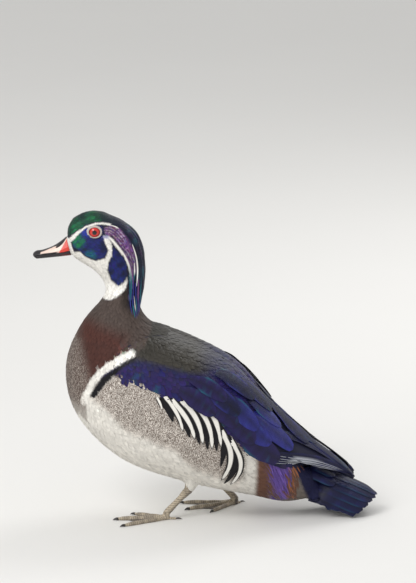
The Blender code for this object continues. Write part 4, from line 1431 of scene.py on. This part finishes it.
class DUCK_OT_wings(bpy.types.Operator):
    """Fold the long feathers of both wings"""
    bl_idname = "duck.wings"
    bl_label = "Wings"

    def execute(self, context):
        tone = shades()
        form = form_of(outer_form())
        vane = Vane(8, 22, blunt=2.6, end=0.55, root=0.7)
        paths = [smooth_line(row[0], LINE_POINTS) for row in WING_PLUMES]
        widths = np.array([width * (1.15 if width > 14 else 1.0)
                           for _, width, _, _, _ in WING_PLUMES])
        heights = 0.25 + 0.17 * np.arange(len(WING_PLUMES))
        for side, sign in zip(("left", "right"), SIDES):
            lines, normals = side_lines(form, paths, (sign,))
            shapes = long_vanes(vane, form, lines, normals, widths, heights)
            colours = self.paint(vane, shapes[0], tone, sign)
            material = feather_material("wing_vane_" + side, 0.45, fine=60.0, depth=0.3)
            solid = "wing_" + side
            feather_piece("wing_plumes_" + side, (solid,), material, vane,
                          shapes, colours, cells(len(lines)))
            # The wing's bed is the tail's colour at 0.6: painted shade under the long feathers.
            make_bed("wing_bed_" + side, merged(solid, -0.15), tone["tail"] * 0.6,
                     "wing_shade_" + side, solid)
        return {"FINISHED"}

    def paint(self, vane, shapes, tone, sign):
        """Colours of one wing's feathers, silver or glossy along their edges."""
        along = vane.along
        colours = np.empty(shapes.shape)
        low = ramp(vane.out * sign, 0.66, 0.74)
        edge = ramp(np.abs(vane.out), 0.8, 1.0)
        for i, (_, _, root, end, rim) in enumerate(WING_PLUMES):
            gloss = ramp(drift(shapes[i], 7.0, i), 0.1, 0.9)
            colour = layered(tone[root], tone, (end, ramp(along, 0.2, 0.8)),
                             ("wing_blue", (0.15 if end == "coverts" else 0.25) * gloss))
            if rim == "silver":
                colour = blend(colour, tone["silver"], low * ramp(-along, -0.93, -0.82))
            else:
                colour = blend(colour, tone["wing_teal"],
                               0.3 * ramp(drift(shapes[i], 5.0, i + 3.0), 0.45, 1.0))
                colour = colour * (0.9 + 0.22 * drift(shapes[i], 2.2, i))[:, None]
                reach = 1.0 - ramp(along, 0.45, 0.75) if rim == "wing_teal" else 1.0
                shade_of = 0.5 if rim == root else 1.0
                colour = blend(colour, tone[rim] * shade_of, edge * 0.7 * reach)
            colours[i] = layered(colour, tone, shaft_line(vane))
        return colours


class DUCK_OT_tail(bpy.types.Operator):
    """Spread the feathers of the tail"""
    bl_idname = "duck.tail"
    bl_label = "Tail"

    def execute(self, context):
        tone = shades()
        vane = Vane(8, 24, blunt=5.0, end=0.5, root=0.5)
        form = form_of(remeshed("tail_form", merged("tail", 0.5), 1.2 * MM, 3))
        lines, normals, heights = [], [], []
        t = np.linspace(0.0, 1.0, LINE_POINTS)
        for step in (5, 4, 3, 2, 1, 0):
            for sign in SIDES:
                share = (step + 0.35) / 5.6
                reach = 66.0 - 26.0 * share ** 1.6
                open_at = 0.68 + 0.24 * share
                y = sign * 27.5 * math.sin(share * math.pi / 2) ** 1.1
                y = y * (open_at + (1.0 - open_at) * t)
                x = 112.0 - 2.0 * share + (reach + 5.5 + 2.0 * share) * t
                place = []
                for px, py in zip(x, y):
                    hit = form.tree.ray_cast(Vector((px, py, 90.0)), Vector((0.0, 0.0, -1.0)))
                    place.append(tuple(hit[0]) if hit[0] is not None else None)
                last = [spot for spot in place if spot is not None][-1]
                place = [spot if spot is not None else (px, py, last[2] - 0.4 * (px - last[0]))
                         for spot, px, py in zip(place, x, y)]
                _, normal = form.nearest(np.array(place))
                normal[:, 2] = np.abs(normal[:, 2])
                lines.append(calm(np.array(place), 3))
                normals.append(unit(calm(normal, 6)))
                heights.append(0.3 + 0.35 * (5 - step))
        plumes = long_vanes(vane, form, np.array(lines), np.array(normals),
                            np.full(len(lines), 17.0), np.array(heights))
        shapes = [np.concatenate(pair) for pair in zip(plumes, self.coverts(vane))]
        along = vane.along
        colours = np.empty(shapes[0].shape)
        for i, shape in enumerate(shapes[0]):
            # Each feather runs from three quarters of the tail's colour at its root to the back's
            # colour: the darker root is painted shade where the coverts and the feathers above lie
            # over it.
            colours[i] = layered(
                tone["tail"] * 0.75, tone, ("back", ramp(along, 0.2, 0.7)),
                ("wing_blue", 0.22 * ramp(drift(shape, 9.0, i), 0.0, 0.9)),
                ("wing_teal", 0.3 * ramp(np.abs(vane.out), 0.7, 1.0) * ramp(along, 0.3, 0.8)),
                shaft_line(vane))
        material = feather_material("tail_vane", 0.45, fine=60.0, depth=0.3)
        feather_piece("tail_plumes", ("tail",), material, vane, shapes,
                      colours, cells(len(colours)))
        # The tail's bed is the tail's colour at 0.8: painted shade under its feathers.
        make_bed("tail_bed", cut_away(merged("tail", -0.7), 126.0), tone["tail"] * 0.8,
                 "tail_shade", "tail")
        return {"FINISHED"}

    def coverts(self, vane):
        """Long coverts that bridge the hollow between the rump and the top of the tail."""
        y = np.array((-17.0, 17.0, -9.0, 9.0, 0.0))
        share = np.linspace(0.0, 1.0, LINE_POINTS)
        x = np.tile(92.0 + 46.0 * share, (len(y), 1))
        z = np.interp(share, (0.0, 0.33, 0.66, 1.0), (68.0, 59.5, 52.5, 44.0))
        z = z[None] - 0.03 * y[:, None] ** 2 + 0.3 * np.arange(len(y))[:, None]
        across = np.tile(y[:, None], (1, LINE_POINTS))
        lines = np.stack([x, across, z], -1)
        normals = unit(np.stack([x * 0.0 + 0.4, across * 0.05, x * 0.0 + 1.0], -1))
        width = np.full(len(y), 15.0)
        return shape_vanes(vane, lines, normals, width, width * 0.08, 0.35)


class DUCK_OT_flank(bpy.types.Operator):
    """Lay the barred flank feathers and the bright plumes of the rump's sides"""
    bl_idname = "duck.flank"
    bl_label = "Flank and side plumes"

    def execute(self, context):
        self.bars(FORMS["body"], shades())
        self.plumes(FORMS["body"], shades(), np.random.default_rng(SEED + 3))
        return {"FINISHED"}

    def bars(self, form, tone):
        """Black plumes, with white-banded ones between and over them."""
        vane = Vane(28, 30, blunt=2.0, end=0.75, root=0.5, curve=0.07)
        paths = [smooth_line(line, LINE_POINTS) for line in BARS]
        paths = [np.concatenate([path[:1] * 4.0 - path[1:2] * 3.0, path[1:]]) for path in paths]
        rows = [(line, width, 0.0) for line, width in zip(paths, BAR_WIDTHS)]
        for first, second in zip(paths, paths[1:]):
            dark = (first + second) / 2.0
            dark[-1] += (dark[-1] - dark[-2]) * 0.4
            rows.append((dark, 8.5, 1.0))
        rows.sort(key=lambda row: -row[2])
        lines, normals = side_lines(form, [smooth_line(row[0], LINE_POINTS) for row in rows])
        widths = np.tile([width for _, width, _ in rows], 2)
        heights = np.tile(0.3 + 0.06 * np.arange(len(rows)), 2)
        shapes = long_vanes(vane, form, lines, normals, widths, heights, 0.2, (0.17, 0.3))
        band = 1.0 - 0.35 * ramp(vane.along, 0.5, 0.9)
        band = band * (1.0 - ramp(vane.along, 0.9, 0.99))
        band = np.tile([0.0 if dark else 0.56 for _, _, dark in rows], 2)[:, None] * band[None]
        white = 1.0 - ramp(np.abs(vane.out)[None], band - 0.03, band + 0.03)
        white = white * ramp(band, 0.02, 0.1)
        colours = blend(tone["black"], tone["white"], white)
        material = feather_material("flank_bars", 0.55, fine=60.0, depth=0.12)
        feather_piece("flank_bars", ("trunk",), material, vane, shapes,
                      colours, cells(len(lines)))

    def plumes(self, form, tone, rng):
        """Hair-like plumes, violet in front and orange behind, that fall over the flank."""
        vane = Vane(4, 10, blunt=1.4, end=0.9, root=0.4)
        count = RUMP_PLUMES
        roots, kinds = [], []
        for sign in SIDES:
            start = np.stack([rng.uniform(62, 95, count), rng.uniform(28, 69, count)], 1)
            roots.append(form.beside(start, sign)[0])
            kinds.append(start[:, 0] + rng.normal(0.0, 2.0, count))
        roots, kinds = np.concatenate(roots), np.concatenate(kinds)
        length = rng.uniform(12.0, 21.0, len(roots))
        ways = np.array((0.42, 0.0, -1.0)) + rng.normal(0.0, 0.12, roots.shape)
        lines, normals = lay(form, roots, ways, length, 5)
        lines = lifted(lines, normals, -0.3, rng.uniform(0.5, 1.6, len(roots)))
        width = rng.uniform(1.3, 2.2, len(roots))
        shapes = shape_vanes(vane, lines, normals, width, width * 0.05, 0.2)
        down = 66.0 - roots[:, 2]
        front = 64.0 + 0.22 * down
        rear = 84.0 - 0.1 * down
        light = ramp(rng.random(len(roots)), 0.5, 1.0)
        colour = layered(
            tone["chestnut"], tone, ("violet", ramp(kinds - front, -2.0, 2.0)),
            (tone["violet"] * 1.8, 0.5 * light * ramp(kinds - front, 0, 3)),
            (blend(tone["chestnut"], tone["orange"], light), ramp(kinds - rear, -2.0, 2.0)))
        # Each plume is painted darker towards its root, as shade where the plumes above lie over
        # it, and lighter towards its end.
        colours = colour[:, None] * (0.7 + 0.4 * vane.along)[None, :, None]
        material = feather_material("side_plumes", 0.5, sheen=0.2, depth=0.2)
        feather_piece("side_plumes", ("trunk",), material, vane, shapes,
                      colours, own_spots(roots))


# ---- bill and legs -------------------------------------------------------------------------

def bill_colour(points, tone, upper):
    """Red, pale and black parts of either half of the bill."""
    x, _, z = points.T
    out = BILL_ROOT - x
    dark = tone["bill_dark"]
    if not upper:
        return blend(np.tile(dark, (len(points), 1)), tone["bill_red"] * 0.5,
                     0.5 * ramp(-out, -8, 0) * ramp(-z, -283, -279))
    below = level_of(BILL_RIDGE, out) - z
    edge = 1.0 - ramp(z - level_of(BILL_EDGE, out), 0.7, 1.5)
    nostril = ((out - NOSTRIL[0]) / 3.2) ** 2 + ((below - NOSTRIL[1]) / 1.3) ** 2
    # The nostril is painted at 0.4 of the dark colour: painted shade in its opening.
    return layered(
        tone["bill_pale"], tone, ("bill_red", 1.0 - ramp(out + 0.6 * (z - 286.0), 5.6, 7.0)),
        (dark, edge * ramp(out, 6, 12)),
        (dark, 1.0 - ramp(below - level_of(BILL_BLACK, out), -0.4, 0.5)),
        (dark * 0.4, 1.0 - ramp(nostril, 0.7, 1.3)),
        (dark * 0.8, ramp(out + 0.3 * (z - 280), 27.2, 28.6)))


class DUCK_OT_bill(bpy.types.Operator):
    """Shape and paint both halves of the bill"""
    bl_idname = "duck.bill"
    bl_label = "Bill"

    def execute(self, context):
        tone = shades()
        horn = painted_material("bill_horn", 0.4, coat=0.12, grain=300.0, depth=0.08, bump=0.1)
        for half in ("upper", "lower"):
            made = remeshed("bill_shape_" + half, merged("bill_" + half, 0.1), 0.45 * MM, 4)
            points = points_of(made)
            if half == "upper":
                points = self.detail(points)
            points = self.rounded(points)
            move_points(made, points)
            paint_points(made, bill_colour(points, tone, half == "upper"))
            finish_piece(made, horn, ("bill_" + half,))
        return {"FINISHED"}

    def rounded(self, points):
        """Draw the tip into a round end, seen from the side and from above."""
        middle = np.array((TIP_X, 0.0, TIP_Z))
        out = points - middle
        tip = np.maximum(np.linalg.norm(out / (TIP_OUT, TIP_WIDE, TIP_UP), axis=1), 1.0)
        return middle + out / np.where(points[:, 0] < TIP_X, tip, 1.0)[:, None]

    def detail(self, points):
        """Nostrils, and the raised nail with its small hook."""
        x, y, z = points.T
        out = BILL_ROOT - x
        below = level_of(BILL_RIDGE, out) - z
        nostril = ((out - NOSTRIL[0]) / 3.0) ** 2 + ((below - NOSTRIL[1]) / 1.2) ** 2
        sink = 0.8 * (1.0 - ramp(nostril, 0.3, 1.2))
        y = y - np.sign(y) * sink
        nail = ramp(out, 25.0, 34.0) * (1.0 - 0.7 * ramp(np.abs(y), 2.0, 5.5))
        z = z + 1.6 * nail * ramp(z, 277.0, 280.5)
        z = z - 1.2 * ramp(out, 33.0, 36.0) * (1.0 - ramp(np.abs(y), 2.2, 4.2))
        return np.stack([x, y, z], 1)


def toe_line(leg, toe):
    """Root, end, way and radius of one toe, seen from above."""
    sign = -1.0 if leg["root"][1] < 0.0 else 1.0
    turn, length, radius = toe
    heading = math.radians(leg["heading"] + sign * -turn)
    way = np.array((math.cos(heading), math.sin(heading)))
    root = np.array(leg["root"][:2], float)
    return root, root + way * length, way, radius


def line_gap(points, start, end):
    """Distance of each point from the line between two others."""
    axis = np.array(end, float) - np.array(start, float)
    share = np.clip((points - start) @ axis / (axis @ axis), 0.0, 1.0)
    return np.linalg.norm(points - start - share[:, None] * axis, axis=1)


class DUCK_OT_legs(bpy.types.Operator):
    """Shape the legs and webbed feet, with their claws"""
    bl_idname = "duck.legs"
    bl_label = "Legs and feet"

    def execute(self, context):
        tone = shades()
        claws = []
        for side, leg in LEGS.items():
            parts = [merged(f"tarsus_{side}", 0.15), merged(f"foot_{side}", 0.15),
                     self.ankle(leg)]
            made = remeshed("leg_" + side, joined(parts), sizes().foot_mesh, 3)
            points = points_of(made)
            colour, reach = self.paint(points, leg, tone)
            paint_points(made, colour)
            held = made.data.attributes.new("Reach", "FLOAT", "POINT")
            held.data.foreach_set("value", reach)
            skin = painted_material("leg_scales", 0.5, grain=500.0, depth=0.2, bump=0.3,
                                    over=self.scales)
            finish_piece(made, skin, ("tarsus_" + side, "foot_" + side))
            claws += [self.claw(leg, toe) for toe in TOES]
        made = object_from("claws", joined(claws))
        paint_points(made, tone["claw"])
        horn = painted_material("claw_horn", 0.3, coat=0.3, grain=600.0)
        finish_piece(made, horn, ("foot_left", "foot_right"))
        return {"FINISHED"}

    def ankle(self, leg):
        """The ankle, and the shank above it that runs up into the feathers."""
        bm = bmesh.new()
        ankle, hip = Vector(leg["ankle"]), Vector(leg["hip"])
        way = (hip - ankle).normalized()
        ball = bmesh.ops.create_uvsphere(bm, u_segments=20, v_segments=14, radius=4.7 * MM)
        bmesh.ops.translate(bm, verts=ball["verts"], vec=ankle * MM)
        shank = bmesh.ops.create_cone(bm, cap_ends=True, segments=20, radius1=4.0 * MM,
                                      radius2=5.2 * MM, depth=16.0 * MM)["verts"]
        placed(bm, shank, way.to_track_quat("Z", "Y").to_matrix(), ankle + way * 7.5)
        return bm

    def paint(self, points, leg, tone):
        """Colours of a leg and the distance along it, for its scales."""
        root = np.array(leg["root"], float)
        flat = points[:, :2]
        gap = np.min([line_gap(flat, start, end) - radius for start, end, _, radius in
                      (toe_line(leg, toe) for toe in TOES)], axis=0)
        low = ramp(-points[:, 2], -7.0, -4.0)
        out = np.linalg.norm(flat - root[:2], axis=1)
        reach = np.where(points[:, 2] > FOOT_TOP, -points[:, 2], out - FOOT_TOP)
        joint = np.max([1.0 - ramp(np.abs(out - share * length), 1.5, 4.5)
                        for share in TOE_JOINTS for _, length, _ in TOES[:3]], axis=0)
        shank = level_of(((root[2], root[0]), (31, leg["ankle"][0])), points[:, 2])
        ankle = np.linalg.norm(points - leg["ankle"], axis=1)
        colour = layered(
            tone["leg"], tone, ("web", ramp(gap, -0.2, 1.2) * low * 0.9),
            ("web", 0.4 * joint * low),
            ("web", 0.55 * ramp(points[:, 0] - shank, -0.5, 3.0) * (1.0 - low)),
            ("web", 0.5 * (1.0 - ramp(ankle, 3.0, 8.0))))
        return colour, reach

    def scales(self, tree, colour, normal):
        """Rows of small scales across the leg and the toes, with dark lines between them."""
        reach = node(tree, "Attribute", attribute_name="Reach")["Fac"]
        wander = figure(tree, "MULTIPLY", speckle(tree, 420.0), 6.5)
        wave = figure(tree, "MULTIPLY_ADD", reach, math.tau / SCALE_ROW, wander)
        line = spread(tree, figure(tree, "SINE", wave), -1.0, -0.45)
        dark = spread(tree, line, 0.0, 1.0, 0.42)
        return (figure(tree, "MULTIPLY", colour, dark, kind="VectorMath"),
                raised(tree, line, 0.8, 0.0004, Normal=normal))

    def claw(self, leg, toe):
        """A curved claw that runs out of the toe's end and meets the floor."""
        _, end, way, radius = toe_line(leg, toe)
        bm = bmesh.new()
        rings = []
        wide = 0.62 * radius
        for share, grow, height in ((0.0, 0.6, 1.3), (0.12, 1.0, 1.5), (0.4, 0.85, 1.75),
                                    (0.7, 0.55, 1.3), (0.92, 0.25, 0.55), (1.0, 0.06, 0.3)):
            made, edges = circle(bm, 12, wide * grow)
            place = end + way * (share - 0.96) * CLAW_LENGTH
            turn = Vector((way[0], way[1], -1.6 * share ** 2)).to_track_quat("Z", "Y")
            placed(bm, made, turn.to_matrix(), (*place, height))
            rings.append(edges)
        for first, second in zip(rings, rings[1:]):
            bmesh.ops.bridge_loops(bm, edges=first + second)
        bmesh.ops.holes_fill(bm, edges=rings[0] + rings[-1])
        bmesh.ops.recalc_face_normals(bm, faces=bm.faces[:])
        return bm


# ---- stage ---------------------------------------------------------------------------------

class DUCK_OT_stage(bpy.types.Operator):
    """Set the floor, the lights and the camera"""
    bl_idname = "duck.stage"
    bl_label = "Stage"

    def execute(self, context):
        scene = context.scene
        stage = scene.duck_stage
        bm = bmesh.new()
        bmesh.ops.create_grid(bm, x_segments=2, y_segments=2, size=40.0)
        floor = object_from("floor", bm)
        paint, tree = new_material("floor_paint")
        tone = np.array(scene.duck_colours.floor)
        cloud = mixed(tree, speckle(tree, 3.0, 3.0), (*(tone * 0.985), 1.0),
                      (*np.minimum(tone * 1.015, 1.0), 1.0))
        floor.data.materials.append(dress(paint, cloud, Roughness=0.9))
        world = bpy.data.worlds.new("studio")
        world.use_nodes = True
        light = world.node_tree.nodes["Background"]
        light.inputs["Color"].default_value = (1.0, 1.0, 1.0, 1.0)
        light.inputs["Strength"].default_value = stage.fill
        scene.world = world
        for name, (place, size, share) in LAMPS.items():
            self.lamp(name, place, size, stage.key * share)
        lean = math.radians(stage.elevation)
        back = Vector((0.0, -math.cos(lean), math.sin(lean)))
        camera = linked("camera", bpy.data.cameras.new("camera"))
        camera.location = Vector(AIM) + back * stage.distance
        camera.rotation_euler = (-back).to_track_quat("-Z", "Y").to_euler()
        camera.data.lens = stage.lens
        camera.data.sensor_width = 36.0
        camera.data.clip_end = 100.0
        scene.camera = camera
        scene.view_settings.view_transform = "Standard"
        return {"FINISHED"}

    def lamp(self, name, place, size, power):
        """A large square light turned to the bird."""
        data = bpy.data.lights.new(name, "AREA")
        data.size = size
        data.energy = power
        made = linked(name, data)
        made.location = place
        way = Vector((0.0, 0.0, 0.15)) - made.location
        made.rotation_euler = way.to_track_quat("-Z", "Y").to_euler()


OPERATORS = (DUCK_OT_skin, DUCK_OT_coat, DUCK_OT_crest, DUCK_OT_wings, DUCK_OT_tail,
             DUCK_OT_flank, DUCK_OT_bill, DUCK_OT_eyes, DUCK_OT_legs, DUCK_OT_stage)
GROUPS = {"duck_sizes": DuckSizes, "duck_colours": DuckColours, "duck_stage": DuckStage}


class DUCK_PT_panel(bpy.types.Panel):
    """Lists the steps that finish the bird"""
    bl_idname = "DUCK_PT_panel"
    bl_label = "Duck"
    bl_space_type = "VIEW_3D"
    bl_region_type = "UI"
    bl_category = "Duck"

    def draw(self, context):
        for operator in OPERATORS:
            self.layout.operator(operator.bl_idname)
        for group, kind in GROUPS.items():
            box = self.layout.box()
            for name in kind.__annotations__:
                box.prop(getattr(context.scene, group), name)


def register():
    for kind in (*GROUPS.values(), *OPERATORS, DUCK_PT_panel):
        bpy.utils.register_class(kind)
    for name, kind in GROUPS.items():
        setattr(bpy.types.Scene, name, bpy.props.PointerProperty(type=kind))


def unregister():
    for name in GROUPS:
        delattr(bpy.types.Scene, name)
    for kind in (DUCK_PT_panel, *OPERATORS, *GROUPS.values()):
        bpy.utils.unregister_class(kind)


def main():
    register()
    for operator in OPERATORS:
        group, name = operator.bl_idname.split(".")
        getattr(getattr(bpy.ops, group), name)()


if __name__ == "__main__":
    main()
